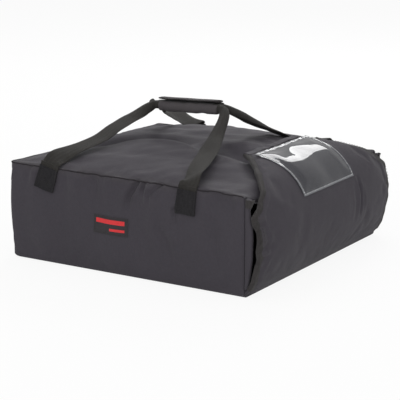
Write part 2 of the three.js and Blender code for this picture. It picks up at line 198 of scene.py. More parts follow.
class MaterialBoard(Board):
    """The nodes of one material, with its Principled shader."""

    def __init__(self, name: str) -> None:
        """Starts a material with an empty Principled shader."""
        self.material = bpy.data.materials.new(name)
        self.material.use_nodes = True
        super().__init__(self.material.node_tree)
        self.shader = self.tree.nodes["Principled BSDF"]

    def finish(self, **sockets: Any) -> bpy.types.Material:
        """Feeds the shader, by socket names with _ for spaces.

        Returns:
            The finished material.
        """
        for key, value in sockets.items():
            self.feed(self.shader.inputs[key.replace("_", " ")], value)
        return self.material


class Weave(Enum):
    """How a cloth is made."""

    PLAIN = "plain"
    CHEVRON = "chevron"
    RIBBED = "ribbed"
    PILE = "pile"


WEAVE_MAP = "weave"
# Attribute of wear on the cloth, and of the clear film's border, where it carries a painted highlight.
WEAR_AND_BORDER_HIGHLIGHT = "wear_and_border_highlight"


def shade(colour: Sequence[float], by: float = 1.0) -> tuple[float, float, float, float]:
    """A colour for a socket, lighter or darker by a factor."""
    return (colour[0] * by, colour[1] * by, colour[2] * by, 1.0)


@dataclass(frozen=True)
class Cloth:
    """A woven finish: its thread, its relief and how it ages."""

    name: str
    colour: tuple[float, float, float]
    weave: Weave = Weave.PLAIN
    pitch: float = 0.0009
    relief: float = 0.00012
    rough: float = 0.78
    sheen: float = 0.06
    gloss: float = 0.14
    cloudy: float = 0.22
    dust: float = 0.25
    crumple: float = 0.0006
    cloud_scale: float = 11.0
    mottle_scale: float = 260.0
    lint_scale: float = 70.0
    crumple_scales: tuple[float, float] = (34.0, 120.0)
    tones: tuple[float, float] = (0.45, 1.55)
    lint_colour: tuple[float, float, float] = (0.09, 0.085, 0.08)

    def threads(self, board: Board) -> Value:
        """Height of the threads, from 0 to 1."""
        across, along, uv = board.surface()
        turn = 2 * math.pi / self.pitch
        if self.weave is Weave.PILE:
            return board.noise(uv, 1 / self.pitch, 2.0, 0.7)
        if self.weave is Weave.RIBBED:
            return ((along * turn).sin() * 0.5 + 0.5) * 0.8 + board.noise(uv, 1.4 / self.pitch, 1.0) * 0.3
        if self.weave is Weave.CHEVRON:
            rows = ((across / (self.pitch * 4)).part() - 0.5).size() * 2
            return ((along / self.pitch + rows) * (2 * math.pi)).sin() * 0.5 + 0.5
        over = (across * (turn / 2)).sin() * (along * (turn / 2)).sin()
        warp = (across * (turn / 2)).sin().size()
        weft = (along * (turn / 2)).sin().size()
        return (warp * (over + 1) + weft * (1 - over)) * 0.5

    def material(self) -> bpy.types.Material:
        """Builds the material."""
        board = MaterialBoard(self.name)
        where = board.space()
        threads = self.threads(board)
        clouds = board.noise(where, self.cloud_scale, 4.0)
        mottle = board.noise(where, self.mottle_scale, 2.0, 0.7)
        tone = (clouds - 0.5) * self.cloudy + (mottle - 0.5) * (self.cloudy * 0.9)
        tone = tone + threads * 0.12 + 0.94
        dark, light = (shade(self.colour, by) for by in self.tones)
        colour = board.mix(tone - 0.5, dark, light)
        wear_and_border_highlight = board.node("ShaderNodeAttribute", {"attribute_name": WEAR_AND_BORDER_HIGHLIGHT}, None, "Fac")
        lint = board.noise(where, self.lint_scale, 5.0, 0.75).step(0.55, 0.75)
        dusty = (wear_and_border_highlight * 0.8 + lint * 0.25) * self.dust
        colour = board.mix(dusty, colour, shade(self.lint_colour))
        coarse, fine = self.crumple_scales
        crumple = board.noise(where, coarse, 3.0, 0.5) + board.noise(where, fine, 2.0) * 0.35
        relief = board.bump(crumple, self.crumple)
        relief = board.bump(threads, self.relief, relief)
        roughness = threads * -0.08 + clouds * 0.12 + (self.rough - 0.03)
        return board.finish(
            Base_Color=colour,
            Roughness=roughness,
            Normal=relief,
            Sheen_Weight=self.sheen,
            Sheen_Roughness=0.45,
            Specular_IOR_Level=self.gloss,
        )


@dataclass(frozen=True)
class Film:
    """Clear vinyl with soft ripples, stiffer towards its sewn border and whiter there as a painted highlight.
    """

    name: str = "clear_vinyl"
    tint: tuple[float, float, float] = (0.030, 0.030, 0.040)
    # Whiter colour of the border: a painted highlight along the sewn edge.
    border_highlight_tint: tuple[float, float, float] = (0.16, 0.165, 0.18)
    ripple_scales: tuple[float, float] = (16.0, 70.0)
    scratch_scale: float = 300.0
    relief: float = 0.0022
    opacity: float = 0.72
    index: float = 1.5

    def material(self) -> bpy.types.Material:
        """Builds the material."""
        board = MaterialBoard(self.name)
        where = board.space()
        # Mask of the border, where the colour is whitened as a painted highlight.
        border = board.node("ShaderNodeAttribute", {"attribute_name": WEAR_AND_BORDER_HIGHLIGHT}, None, "Fac")
        coarse, fine = self.ripple_scales
        waves = board.noise(where, coarse, 1.0, 0.4) + board.noise(where, fine, 1.0) * (border * 0.4)
        scratch = board.noise(where, self.scratch_scale, 3.0, 0.8).step(0.6, 0.8)
        return board.finish(
            Base_Color=board.mix(border, shade(self.tint), shade(self.border_highlight_tint)),
            Roughness=scratch * 0.10 + border * 0.12 + 0.03,
            Alpha=border * 0.1 + scratch * 0.05 + self.opacity,
            Normal=board.bump(waves, self.relief),
            IOR=self.index,
        )


class Finish(Enum):
    """Every finish of the bag."""

    SHELL = Cloth("coated_nylon", (0.048, 0.0435, 0.052), crumple=0.0010)
    # Shinier nylon of the grip channel; its colour is lighter than the shell's as a painted highlight.
    WRAP = Cloth("wrap_nylon_painted_highlight", (0.070, 0.063, 0.067), gloss=0.2)
    LINING = Cloth("lining_nylon", (0.060, 0.058, 0.062), pitch=0.0012, rough=0.6, dust=0.1)
    WEBBING = Cloth(
        "woven_strap", (0.030, 0.028, 0.026),
        Weave.CHEVRON, 0.0016, 0.0003, 0.8, 0.06, 0.1, 0.6, 0.3, 0.0002,
    )
    PATCH = Cloth(
        "sewn_strap_patch", (0.021, 0.020, 0.022),
        Weave.CHEVRON, 0.0016, 0.0003, 0.8, 0.04, 0.1, 0.6, 0.2, 0.0002,
    )
    BINDING = Cloth(
        "ribbed_tape", (0.039, 0.036, 0.036),
        Weave.RIBBED, 0.0013, 0.00025, 0.8, 0.08, 0.1, 0.9, 0.5, 0.0004,
    )
    PIPING = Cloth(
        "piping", (0.022, 0.019, 0.022),
        Weave.RIBBED, 0.0010, 0.0001, 0.7, 0.03, 0.1, 0.3, 0.1, 0.0001,
    )
    HOOK = Cloth(
        "hook_pile", (0.020, 0.020, 0.020),
        Weave.PILE, 0.0011, 0.0006, 0.9, 0.1, 0.1, 0.4, 0.2, 0.0001,
    )
    TRIM = Cloth("dark_nylon", (0.024, 0.020, 0.022))
    LABEL = Cloth(
        "woven_label", (0.040, 0.037, 0.040),
        Weave.RIBBED, 0.0007, 0.0001, 0.7, 0.03, 0.1, 0.3, 0.2, 0.0001,
    )
    LABEL_BAR = Cloth(
        "woven_bar", (0.62, 0.045, 0.05),
        Weave.RIBBED, 0.0007, 0.0001, 0.7, 0.03, 0.1, 0.3, 0.1, 0.0001,
    )
    THREAD = Cloth(
        "thread", (0.020, 0.019, 0.020),
        Weave.RIBBED, 0.0006, 0.0001, 0.7, 0.05, 0.1, 0.2, 0.2, 0.0001,
    )
    PALE_THREAD = Cloth(
        "pale_thread", (0.62, 0.62, 0.62),
        Weave.RIBBED, 0.0006, 0.0001, 0.5, 0.1, 0.2, 0.2, 0.0, 0.0001,
    )
    FILM = Film()

    def material(self) -> bpy.types.Material:
        """The finish's material, made at its first use."""
        return bpy.data.materials.get(self.value.name) or self.value.material()


# Mesh work


def deselect() -> None:
    """Deselects every object."""
    bpy.ops.object.select_all(action="DESELECT")


def only(obj: bpy.types.Object) -> None:
    """Makes one object the selected and active one."""
    deselect()
    obj.select_set(True)
    bpy.context.view_layer.objects.active = obj


def read(items: Any, name: str, width: int = 3) -> Points:
    """One property of every vertex, face, corner or map point as an array."""
    flat = np.zeros(len(items) * width, np.int32 if width == 1 else float)
    items.foreach_get(name, flat)
    return flat.reshape(-1, width) if width > 1 else flat


def places(obj: bpy.types.Object) -> Points:
    """The vertices of an object as an array."""
    return read(obj.data.vertices, "co")


def put(obj: bpy.types.Object, points: Points) -> None:
    """Moves the vertices of an object."""
    obj.data.vertices.foreach_set("co", np.ascontiguousarray(points, float).ravel())
    obj.data.update()


def normals(obj: bpy.types.Object) -> Points:
    """The vertex normals of an object."""
    return read(obj.data.vertices, "normal")


def edit(obj: bpy.types.Object, *steps: Callable[[], Any]) -> None:
    """Runs edit-mode steps on an object with everything selected."""
    only(obj)
    bpy.ops.object.mode_set(mode="EDIT")
    bpy.ops.mesh.select_all(action="SELECT")
    for step in steps:
        step()
    bpy.ops.object.mode_set(mode="OBJECT")


def pick_faces(obj: bpy.types.Object, test: Callable[[Any], bool]) -> None:
    """Enters edit mode with the faces selected that pass a test."""
    only(obj)
    bpy.ops.object.mode_set(mode="EDIT")
    bpy.ops.mesh.select_mode(type="FACE")
    bpy.ops.mesh.select_all(action="DESELECT")
    bpy.ops.object.mode_set(mode="OBJECT")
    for face in obj.data.polygons:
        face.select = test(face)
    bpy.ops.object.mode_set(mode="EDIT")


def grid(name: str, across: int, along: int, place: Place) -> bpy.types.Object:
    """Adds a grid and lays it out.

    Args:
        name: Name of the piece.
        across: Cells across.
        along: Cells along.
        place: Gives points for shares across and along.

    Returns:
        The grid, with its map from 0 to 1.
    """
    deselect()
    bpy.ops.mesh.primitive_grid_add(x_subdivisions=across, y_subdivisions=along, size=2)
    obj = bpy.context.object
    obj.name = obj.data.name = name
    shares = (places(obj)[:, :2] + 1) / 2
    put(obj, place(shares[:, 0], shares[:, 1]))
    return obj


def stretch_map(obj: bpy.types.Object, width: float, length: float) -> None:
    """Scales the map of a piece to metres and names it for the weave."""
    layer = obj.data.uv_layers[0]
    layer.name = WEAVE_MAP
    layer.data.foreach_set("uv", (read(layer.data, "uv", 2) * (width, length)).ravel())


def panel_map(obj: bpy.types.Object) -> None:
    """Maps each face in metres along the two axes it lies in, as cut panels are."""
    mesh = obj.data
    while mesh.uv_layers:
        mesh.uv_layers.remove(mesh.uv_layers[0])
    layer = mesh.uv_layers.new(name=WEAVE_MAP)
    totals = read(mesh.polygons, "loop_total", 1)
    axis = np.repeat(np.abs(read(mesh.polygons, "normal")).argmax(1), totals)
    points = places(obj)[read(mesh.loops, "vertex_index", 1)]
    across = np.where(axis == 0, points[:, 1], points[:, 0])
    along = np.where(axis == 2, points[:, 1], points[:, 2])
    layer.data.foreach_set("uv", np.c_[across, along].ravel())


def loft(name: str, rings: Points) -> bpy.types.Object:
    """Closes a row of rings into a solid with capped ends.

    Args:
        name: Name of the piece.
        rings: Points by ring, place on the ring and axis.

    Returns:
        The piece, mapped in metres round and along it.
    """
    count, around = rings.shape[0], rings.shape[1]

    def place(u: Points, v: Points) -> Points:
        """Takes each point from its ring."""
        return rings[np.rint(v * (count - 1)).astype(int), np.rint(u * around).astype(int) % around]

    obj = grid(name, around, count - 1, place)
    middle = rings[count // 2]
    girth = float(np.linalg.norm(np.roll(middle, -1, 0) - middle, axis=1).sum())
    length = float(np.linalg.norm(np.diff(rings.mean(1), axis=0), axis=1).sum())
    stretch_map(obj, girth, length)
    edit(
        obj,
        lambda: bpy.ops.mesh.remove_doubles(threshold=1e-6),
        lambda: bpy.ops.mesh.fill_holes(sides=0),
        lambda: bpy.ops.mesh.normals_make_consistent(inside=False),
    )
    return obj


def modify(obj: bpy.types.Object, kind: str, **settings: Any) -> None:
    """Adds a modifier, sets it and applies it."""
    only(obj)
    made = obj.modifiers.new(kind.lower(), kind)
    for key, value in settings.items():
        setattr(made, key, value)
    bpy.ops.object.modifier_apply(modifier=made.name)


def subdivide(obj: bpy.types.Object, levels: int = 1) -> None:
    """Rounds a piece with subdivision."""
    modify(obj, "SUBSURF", levels=levels, render_levels=levels)


def thicken(obj: bpy.types.Object, thickness: float, offset: float = -1.0) -> None:
    """Gives a sheet its thickness, inwards as a rule."""
    modify(obj, "SOLIDIFY", thickness=thickness, offset=offset, use_even_offset=False)


def face_sideways(obj: bpy.types.Object, side: int) -> None:
    """Turns a sheet's normals to the near side, -1, or the far side, 1."""
    if side * obj.data.polygons[0].normal.x < 0:
        edit(obj, lambda: bpy.ops.mesh.flip_normals())


def set_wear_and_border_highlight(obj: bpy.types.Object, amount: Points) -> None:
    """Writes the wear of each vertex, from 0 to 1; on the clear film it marks the border, which gets a
    painted highlight.
    """
    made = obj.data.attributes.get(WEAR_AND_BORDER_HIGHLIGHT) or obj.data.attributes.new(WEAR_AND_BORDER_HIGHLIGHT, "FLOAT", "POINT")
    made.data.foreach_set("value", np.clip(amount, 0, 1).astype(np.float32))


def join(pieces: Sequence[bpy.types.Object], name: str) -> bpy.types.Object:
    """Joins pieces into the first and names it."""
    deselect()
    for piece in pieces:
        piece.select_set(True)
    bpy.context.view_layer.objects.active = pieces[0]
    bpy.ops.object.join()
    pieces[0].name = pieces[0].data.name = name
    return pieces[0]


def copy(obj: bpy.types.Object, name: str) -> bpy.types.Object:
    """Copies a piece with a mesh of its own."""
    made = obj.copy()
    made.data = obj.data.copy()
    made.name = made.data.name = name
    bpy.context.scene.collection.objects.link(made)
    return made


def tree_of(obj: bpy.types.Object) -> BVHTree:
    """A search tree of a piece as it is now."""
    faces = [tuple(face.vertices) for face in obj.data.polygons]
    return BVHTree.FromPolygons([tuple(p) for p in places(obj)], faces)


def lay(
    points: Points, tree: BVHTree, outwards: Points, clear: float | Points, reach: float = 0.03
) -> Points:
    """Sets points on a surface.

    Args:
        points: Where they are now.
        tree: The surface.
        outwards: The direction that leaves the surface, for each point.
        clear: How far they stand off it.
        reach: How far away it is looked for.

    Returns:
        The points on the surface, or as they were where it isn't met.
    """
    done = points.copy()
    stand = np.broadcast_to(clear, len(points))
    for k, (point, out) in enumerate(zip(points, np.broadcast_to(outwards, points.shape))):
        start = Vector(point + out * reach)
        hit = tree.ray_cast(start, Vector(-out), 2 * reach)[0]
        if hit is not None:
            done[k] = np.array(hit) + out * stand[k]
    return done


def show(
    obj: bpy.types.Object,
    finish: Finish,
    body: str | None,
    nodes: Sequence[str] = (),
    smooth: float = 50.0,
) -> bpy.types.Object:
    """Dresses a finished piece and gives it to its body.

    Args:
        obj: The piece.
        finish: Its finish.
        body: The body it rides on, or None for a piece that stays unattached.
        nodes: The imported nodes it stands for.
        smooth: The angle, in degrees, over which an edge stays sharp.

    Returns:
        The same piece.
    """
    if not obj.data.materials:
        obj.data.materials.append(finish.material())
    if WEAVE_MAP not in obj.data.uv_layers:
        panel_map(obj)
    only(obj)
    bpy.ops.object.shade_smooth_by_angle(angle=math.radians(smooth))
    if nodes:
        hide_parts(*nodes)
    if body is not None:
        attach(obj, body)
    LOG.info("%s: %d faces", obj.name, len(obj.data.polygons))
    return obj


# Cloth


def ripple(points: Points, wavelength: float, seed: int, waves: int = 10) -> Points:
    """Smooth irregular waves through space.

    Args:
        points: Where to read them.
        wavelength: Their usual length.
        seed: Picks one pattern.
        waves: How many are laid over each other.

    Returns:
        A height for each point, mostly between -1 and 1.
    """
    draw = np.random.default_rng(seed)
    ways = draw.normal(size=(points.shape[1], waves))
    ways /= np.linalg.norm(ways, axis=0) * wavelength * draw.uniform(0.7, 1.7, waves)
    return np.sin(points @ ways * 2 * math.pi + draw.uniform(0, 2 * math.pi, waves)).sum(1) / math.sqrt(waves)


def smoothstep(x: Any, low: float, high: float) -> Any:
    """Turns smoothly from 0 at low to 1 at high."""
    t = np.clip((np.asarray(x, float) - low) / (high - low), 0, 1)
    return t * t * (3 - 2 * t)


@dataclass(frozen=True)
class Fold:
    """A crease on a panel: a line in the panel's own two axes, in metres."""

    line: tuple[tuple[float, float], ...]
    depth: float
    width: float
    held: bool = True
    ridge: tuple[float, float, float] = (0.45, 1.9, 0.9)

    def height(self, where: Points) -> Points:
        """How far the cloth moves out at each place: in along the line, out beside it."""
        line = np.array(self.line, float)
        spans = np.linalg.norm(np.diff(line, axis=0), axis=1)
        starts = np.r_[0, np.cumsum(spans)]
        best = np.full(len(where), 1e9)
        share = np.zeros(len(where))
        for k, span in enumerate(spans):
            way = (line[k + 1] - line[k]) / span
            t = np.clip((where - line[k]) @ way, 0, span)
            away = np.linalg.norm(where - line[k] - t[:, None] * way, axis=1)
            nearer = away < best
            best = np.where(nearer, away, best)
            share = np.where(nearer, (starts[k] + t) / starts[-1], share)
        taper = 1 - share**2.2 if self.held else np.sin(math.pi * np.clip(share, 0, 1)) ** 0.7
        near = best / self.width
        share_up, at, width = self.ridge
        profile = -np.exp(-(near**2)) + share_up * np.exp(-(((near - at) / width) ** 2))
        return self.depth * taper * profile


@dataclass(frozen=True)
class Puff:
    """How a padded form is blown up as cloth."""

    pressure: float = 4.0
    growth: float = 0.0
    cap: float = 0.006
    frames: int = 20
    bending: float = 0.5

    def run(self, obj: bpy.types.Object, held: Points) -> None:
        """Simulates the cloth and applies the result.

        Args:
            obj: The closed form.
            held: For each vertex, 1 where it stays and 0 where it is free.
        """
        rest = places(obj)
        group = obj.vertex_groups.new(name="held")
        for level in np.unique(np.round(held, 1)):
            if level > 0:
                picked = np.flatnonzero(np.round(held, 1) == level)
                group.add([int(k) for k in picked], float(level), "REPLACE")
        only(obj)
        cloth = obj.modifiers.new("puff", "CLOTH")
        settings = {
            "vertex_group_mass": group.name,
            "quality": 6,
            "tension_stiffness": 15,
            "compression_stiffness": 15,
            "shear_stiffness": 8,
            "bending_stiffness": self.bending,
            "air_damping": 4,
            "use_pressure": True,
            "uniform_pressure_force": self.pressure,
            "shrink_min": -self.growth,
        }
        for key, value in settings.items():
            setattr(cloth.settings, key, value)
        cloth.settings.effector_weights.gravity = 0
        cloth.collision_settings.use_collision = False
        cloth.point_cache.frame_start = 1
        cloth.point_cache.frame_end = self.frames
        for frame in range(1, self.frames + 1):
            bpy.context.scene.frame_set(frame)
        bpy.ops.object.modifier_apply(modifier=cloth.name)
        bpy.context.scene.frame_set(1)
        moved = places(obj) - rest
        far = np.linalg.norm(moved, axis=1)
        limit = self.cap * np.tanh(far / self.cap) / np.maximum(far, TINY)
        put(obj, rest + moved * limit[:, None] * (1 - held)[:, None])
        obj.vertex_groups.clear()
        LOG.info("%s puffed, %.1f mm at most", obj.name, 1000 * float((far * limit).max()))


# Stage


@dataclass
class Studio:
    """Camera, pale floor and soft light."""

    eye: tuple[float, float, float] = (-2.2592, -1.4059, 0.7440)
    azimuth: float = math.radians(58.19)
    elevation: float = math.radians(14.14)
    lens: float = 154.37
    floor_size: float = 14.0
    ambient: float = 0.60
    floor_glow: float = 0.90
    white: tuple[float, float, float, float] = (1.0, 1.0, 1.0, 1.0)

    def build(self) -> None:
        """Makes the camera, the lamps, the floor and the world."""
        self.camera()
        self.lamp("overhead_softbox", (0.2, 0.3, 2.4), (0, 0, 0.1), 2.0, 7.5)
        self.lamp("side_softbox", (1.75, 0.55, 1.43), (0.1, -0.1, 0.12), 1.15, 17, 0.84)
        self.lamp("front_softbox", (-3.0, -1.4, 1.3), (0, 0, 0.08), 2.0, 40)
        self.floor()
        self.world()
        bpy.context.scene.view_settings.view_transform = "Standard"

    def hang(
        self, name: str, data: bpy.types.ID, at: Sequence[float], way: Sequence[float]
    ) -> bpy.types.Object:
        """Hangs a camera or lamp at a place, so that it looks along a way."""
        made = bpy.data.objects.new(name, data)
        bpy.context.scene.collection.objects.link(made)
        made.location = at
        made.rotation_euler = Vector(way).to_track_quat("-Z", "Y").to_euler()
        return made

    def camera(self) -> None:
        """Makes the camera, which looks the way the photograph does."""
        level = math.cos(self.elevation)
        way = (math.sin(self.azimuth) * level, math.cos(self.azimuth) * level, -math.sin(self.elevation))
        made = self.hang("camera", bpy.data.cameras.new("camera"), self.eye, way)
        made.data.lens = self.lens
        made.data.clip_end = 60
        bpy.context.scene.camera = made

    def lamp(
        self,
        name: str,
        at: Sequence[float],
        towards: Sequence[float],
        size: float,
        power: float,
        tall: float = 0.0,
    ) -> None:
        """Makes a softbox.

        Args:
            name: Name of the lamp.
            at: Where it hangs.
            towards: What it points at.
            size: Its width.
            power: Its power in watts.
            tall: Its height, where it isn't square.
        """
        data = bpy.data.lights.new(name, "AREA")
        data.shape = "RECTANGLE"
        data.size = size
        data.size_y = tall or size
        data.energy = power
        self.hang(name, data, at, Vector(towards) - Vector(at))

    def seen(self, board: Board) -> Value:
        """1 for rays that show the background plainly, to the eye, in gloss or through glass."""
        outputs = ("Is Camera Ray", "Is Glossy Ray", "Is Transmission Ray")
        rays = [board.node("ShaderNodeLightPath", None, None, name) for name in outputs]
        return rays[0].above(rays[1]).above(rays[2])

    def floor(self) -> None:
        """Makes the pale floor, which keeps the shadow."""
        deselect()
        bpy.ops.mesh.primitive_plane_add(size=self.floor_size, location=(0, 0, -0.0006))
        made = bpy.context.object
        made.name = "floor"
        board = MaterialBoard("pale_floor")
        board.finish(Base_Color=(0.9, 0.9, 0.9, 1), Roughness=0.9, Specular_IOR_Level=0.0)
        matte = Value(board, board.shader.outputs[0])
        glow = board.node("ShaderNodeEmission", None, {"Color": self.white})
        board.lay_over(self.seen(board) * self.floor_glow, matte, glow, "Material Output")
        made.data.materials.append(board.material)

    def world(self) -> None:
        """Makes the surroundings: white to the eye, softer as light."""
        world = bpy.data.worlds.new("studio")
        bpy.context.scene.world = world
        world.use_nodes = True
        board = Board(world.node_tree)
        soft = board.tree.nodes["Background"]
        board.feed(soft.inputs["Color"], self.white)
        board.feed(soft.inputs["Strength"], self.ambient)
        plain = board.node("ShaderNodeBackground", None, {"Color": self.white})
        board.lay_over(self.seen(board), Value(board, soft.outputs[0]), plain, "World Output")


# Sewing


@dataclass(frozen=True)
class Stitching:
    """Rows of single stitches, each a small rounded grain of thread."""

    length: float
    gap: float
    thick: float
    sides: int = 6

    def grain(self) -> tuple[Points, list[tuple[int, ...]]]:
        """One stitch along X at the origin, as points and faces."""
        deselect()
        bpy.ops.mesh.primitive_cylinder_add(vertices=self.sides, radius=0.5, depth=1, end_fill_type="NGON")
        obj = bpy.context.object
        edit(
            obj,
            lambda: bpy.ops.transform.rotate(value=math.pi / 2, orient_axis="Y", center_override=(0, 0, 0)),
            lambda: bpy.ops.mesh.bevel(offset=0.28, segments=2, affect="EDGES"),
        )
        points = places(obj)
        faces = [tuple(face.vertices) for face in obj.data.polygons]
        bpy.data.objects.remove(obj)
        return points, faces

    def row(self, name: str, paths: Sequence[tuple[Points, Points]], sunk: float = 0.2) -> bpy.types.Object:
        """Sews stitches along paths.

        Args:
            name: Name of the piece.
            paths: For each row its points and the directions out of the cloth there.
            sunk: How deep a stitch sits, as a share of its thickness.

        Returns:
            One piece with all the stitches.
        """
        grain, faces = self.grain()
        all_points: list[Points] = []
        all_faces: list[tuple[int, ...]] = []
        for line, outward in paths:
            spans = np.linalg.norm(np.diff(line, axis=0), axis=1)
            reached = np.r_[0, np.cumsum(spans)]
            pitch = self.length + self.gap
            count = max(1, int(reached[-1] / pitch))
            spare = (reached[-1] - count * pitch + self.gap) / 2
            for k in range(count):
                ends = [spare + k * pitch, spare + k * pitch + self.length]
                head, tail = (np.array([np.interp(s, reached, line[:, a]) for a in range(3)]) for s in ends)
                out = np.array([np.interp(ends[0], reached, outward[:, a]) for a in range(3)])
                way = (tail - head) / np.linalg.norm(tail - head)
                out = out - way * (out @ way)
                out /= np.linalg.norm(out)
                side = np.cross(out, way)
                local = grain * (self.length, self.thick, self.thick)
                middle = (head + tail) / 2 + out * self.thick * (0.5 - sunk)
                base = len(all_points) * len(grain)
                all_points.append(middle + local @ np.array([way, side, out]))
                all_faces.extend(tuple(base + i for i in face) for face in faces)
        mesh = bpy.data.meshes.new(name)
        mesh.from_pydata(np.concatenate(all_points).tolist(), [], all_faces)
        obj = bpy.data.objects.new(name, mesh)
        bpy.context.scene.collection.objects.link(obj)
        return obj


POCKET_THREAD = Stitching(0.0026, 0.0022, 0.0007)
TIP_THREAD = Stitching(0.0030, 0.0020, 0.0006)
STRAP_THREAD = Stitching(0.0026, 0.0012, 0.0007)
GRIP_THREAD = Stitching(0.0028, 0.0018, 0.0006)
LABEL_THREAD = Stitching(0.0022, 0.0016, 0.0005)


def along_line(corners: Sequence[Points], step: float = 0.002) -> Points:
    """Points at even steps along straight runs between corners."""
    out = []
    for a, b in zip(corners[:-1], corners[1:]):
        count = max(2, int(np.linalg.norm(np.array(b) - a) / step))
        out.append(np.linspace(a, b, count, endpoint=False))
    out.append(np.array([corners[-1]]))
    return np.concatenate(out)


# The bag itself


@dataclass
class BagShell:
    """Outer panels of the bag as one padded form, open at the mouth, with its lining."""

    half_width: float = 0.212
    half_depth: float = 0.211
    near_edge: float = 0.152
    far_drop: float = 0.007
    crown: float = 0.0305
    crown_peak: float = 0.020
    front_overhang: float = 0.007
    far_share: float = 0.92
    crest: float = -0.053
    crest_peak: float = 0.025
    crest_back: float = 7.2
    crest_front: float = 0.020
    valley_behind: float = 0.023
    valley_width: float = 0.014
    valley_depth: float = 0.0125
    mouth_fall: float = 0.0135
    fall_length: float = 0.024
    fall_half_width: float = 0.197
    corner: float = 0.008
    foot: float = 0.006
    back_sag: float = 0.0055
    front_sag: float = 0.0045
    back_bulge: float = 0.0045
    cells: tuple[int, int, int] = (60, 60, 22)
    padding: float = 0.0068
    lining_gap: float = 0.0004
    lining: float = 0.0009
    piping: float = 0.0011
    piping_steps: int = 150
    seam_reach: float = 0.0012
    seam_crease: float = 0.9
    grip_hollow: float = 0.0062
    grip_reach: float = 0.031
    grip_front: tuple[float, float] = (-0.090, -0.045)
    grip_rear: tuple[float, float] = (0.072, 0.110)
    gather_rise: float = 0.0036
    wall_ripple: float = 0.0027
    back_share: float = 0.45
    top_ripple: float = 0.0012
    top_crumple: float = 0.0004
    seam_width: float = 0.0030
    seam_dip: float = 0.0006
    rim_round: float = 0.0034
    rim_reach: float = 0.0042
    puff: Puff = field(default_factory=lambda: Puff(1.6, 0.018, 0.0045, 20, 0.4))
    side_folds: tuple[Fold, ...] = (
        Fold(((-0.027, 0.150), (-0.014, 0.129), (-0.007, 0.100)), 0.0058, 0.0042),
        Fold(((-0.040, 0.150), (-0.038, 0.128)), 0.0040, 0.0034),
        Fold(((-0.068, 0.151), (-0.050, 0.134), (-0.050, 0.112)), 0.0045, 0.0038),
        Fold(((-0.073, 0.124), (-0.067, 0.083), (-0.078, 0.066), (-0.088, 0.028)), 0.0040, 0.0080, False),
        Fold(((-0.094, 0.118), (-0.095, 0.092)), 0.0034, 0.0036),
        Fold(((0.073, 0.150), (0.072, 0.110)), 0.0020, 0.0050),
        Fold(((0.020, 0.150), (0.022, 0.128)), 0.0018, 0.0045),
        Fold(((-0.150, 0.120), (-0.160, 0.060), (-0.176, 0.015)), 0.0024, 0.0110, False),
        Fold(((0.170, 0.148), (0.176, 0.120)), 0.0020, 0.0050),
        Fold(((0.100, 0.060), (0.090, 0.020)), 0.0012, 0.0120, False),
        Fold(((0.050, 0.140), (0.047, 0.118)), 0.0014, 0.0040),
        Fold(((-0.186, 0.148), (-0.190, 0.118)), 0.0020, 0.0050),
    )

    def layer(self, name: str) -> list[str]:
        """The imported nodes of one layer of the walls."""
        return [f"{name}_{panel}" for panel in ("base", "left", "right", "back", "top")]

    def edge_height(self, x: Any, y: Any = 0.0) -> Any:
        """Height of the seam round the top, which sags towards the far back corner."""
        sag = self.back_sag * smoothstep(x, -0.22, 0.10) * smoothstep(y, 0.02, 0.20)
        sag = sag + self.front_sag * smoothstep(x, 0.09, 0.20) * smoothstep(y, -0.11, -0.20)
        return self.near_edge - self.far_drop * (x / (2 * self.half_width) + 0.5) - sag

    def top_height(self, x: Points, y: Points) -> Points:
        """Height of the top: two humps, a valley, a fall at the mouth and a hollow under the grip."""
        from_peak = y - self.crown_peak
        back = 1 - (np.maximum(from_peak, 0) / (self.half_depth - self.crown_peak)) ** 2.2
        front = 1 - (np.maximum(-from_peak, 0) / (self.half_depth + self.front_overhang)) ** 3
        along = np.where(from_peak > 0, back, front)
        across = 1 - np.minimum(1, np.abs(x) / self.half_width) ** 1.7
        across = across * (1 - (1 - self.far_share) * smoothstep(x, -0.05, 0.05))
        reach = np.maximum(0, (self.fall_length - self.half_depth - y) / self.fall_length)
        middle = 1 - np.minimum(1, np.abs(x) / self.fall_half_width) ** 12
        fall = self.mouth_fall * reach**2 * middle + self.valley(x, y)
        under_grip = np.exp(-((x / self.grip_reach) ** 4)) * smoothstep(y, *self.grip_front)
        under_grip = under_grip * (1 - smoothstep(y, *self.grip_rear))
        fall = fall + self.grip_hollow * under_grip
        return self.edge_height(x, y) + self.crown * across * along - fall

    def valley(self, x: Points, y: Points) -> Points:
        """Depth of the valley behind the curved crest of the near hump."""
        back = np.maximum(0, y - self.crest_peak)
        crest = self.crest - self.crest_back * back**2
        crest = crest - self.crest_front * smoothstep(self.crest_peak - y, 0.005, 0.075)
        behind = (x - crest - self.valley_behind) / self.valley_width
        behind = np.where(behind > 0, behind * 0.55, behind)
        fade = smoothstep(y, -0.180, -0.120) * (1 - smoothstep(y, 0.090, 0.165))
        return self.valley_depth * np.exp(-(behind**2)) * fade

    def plan(self, x: Points, y: Points) -> tuple[Points, Points]:
        """Rounds the two back corners of the plan."""
        centre_x, centre_y = self.half_width - self.corner, self.half_depth - self.corner
        u = np.maximum(np.abs(x) - centre_x, 0) / self.corner
        v = np.maximum(y - centre_y, 0) / self.corner
        round_x = centre_x + self.corner * u * np.sqrt(1 - v**2 / 2)
        round_y = centre_y + self.corner * v * np.sqrt(1 - u**2 / 2)
        both = (u > 0) & (v > 0)
        return np.where(both, np.sign(x) * round_x, x), np.where(both, round_y, y)

    def pulled(self, x: Points, y: Points, by: Points) -> tuple[Points, Points]:
        """Draws the plan in towards the middle of the mouth's edge."""
        return x * (1 - by / self.half_width), y - by * (y + self.half_depth) / (2 * self.half_depth)

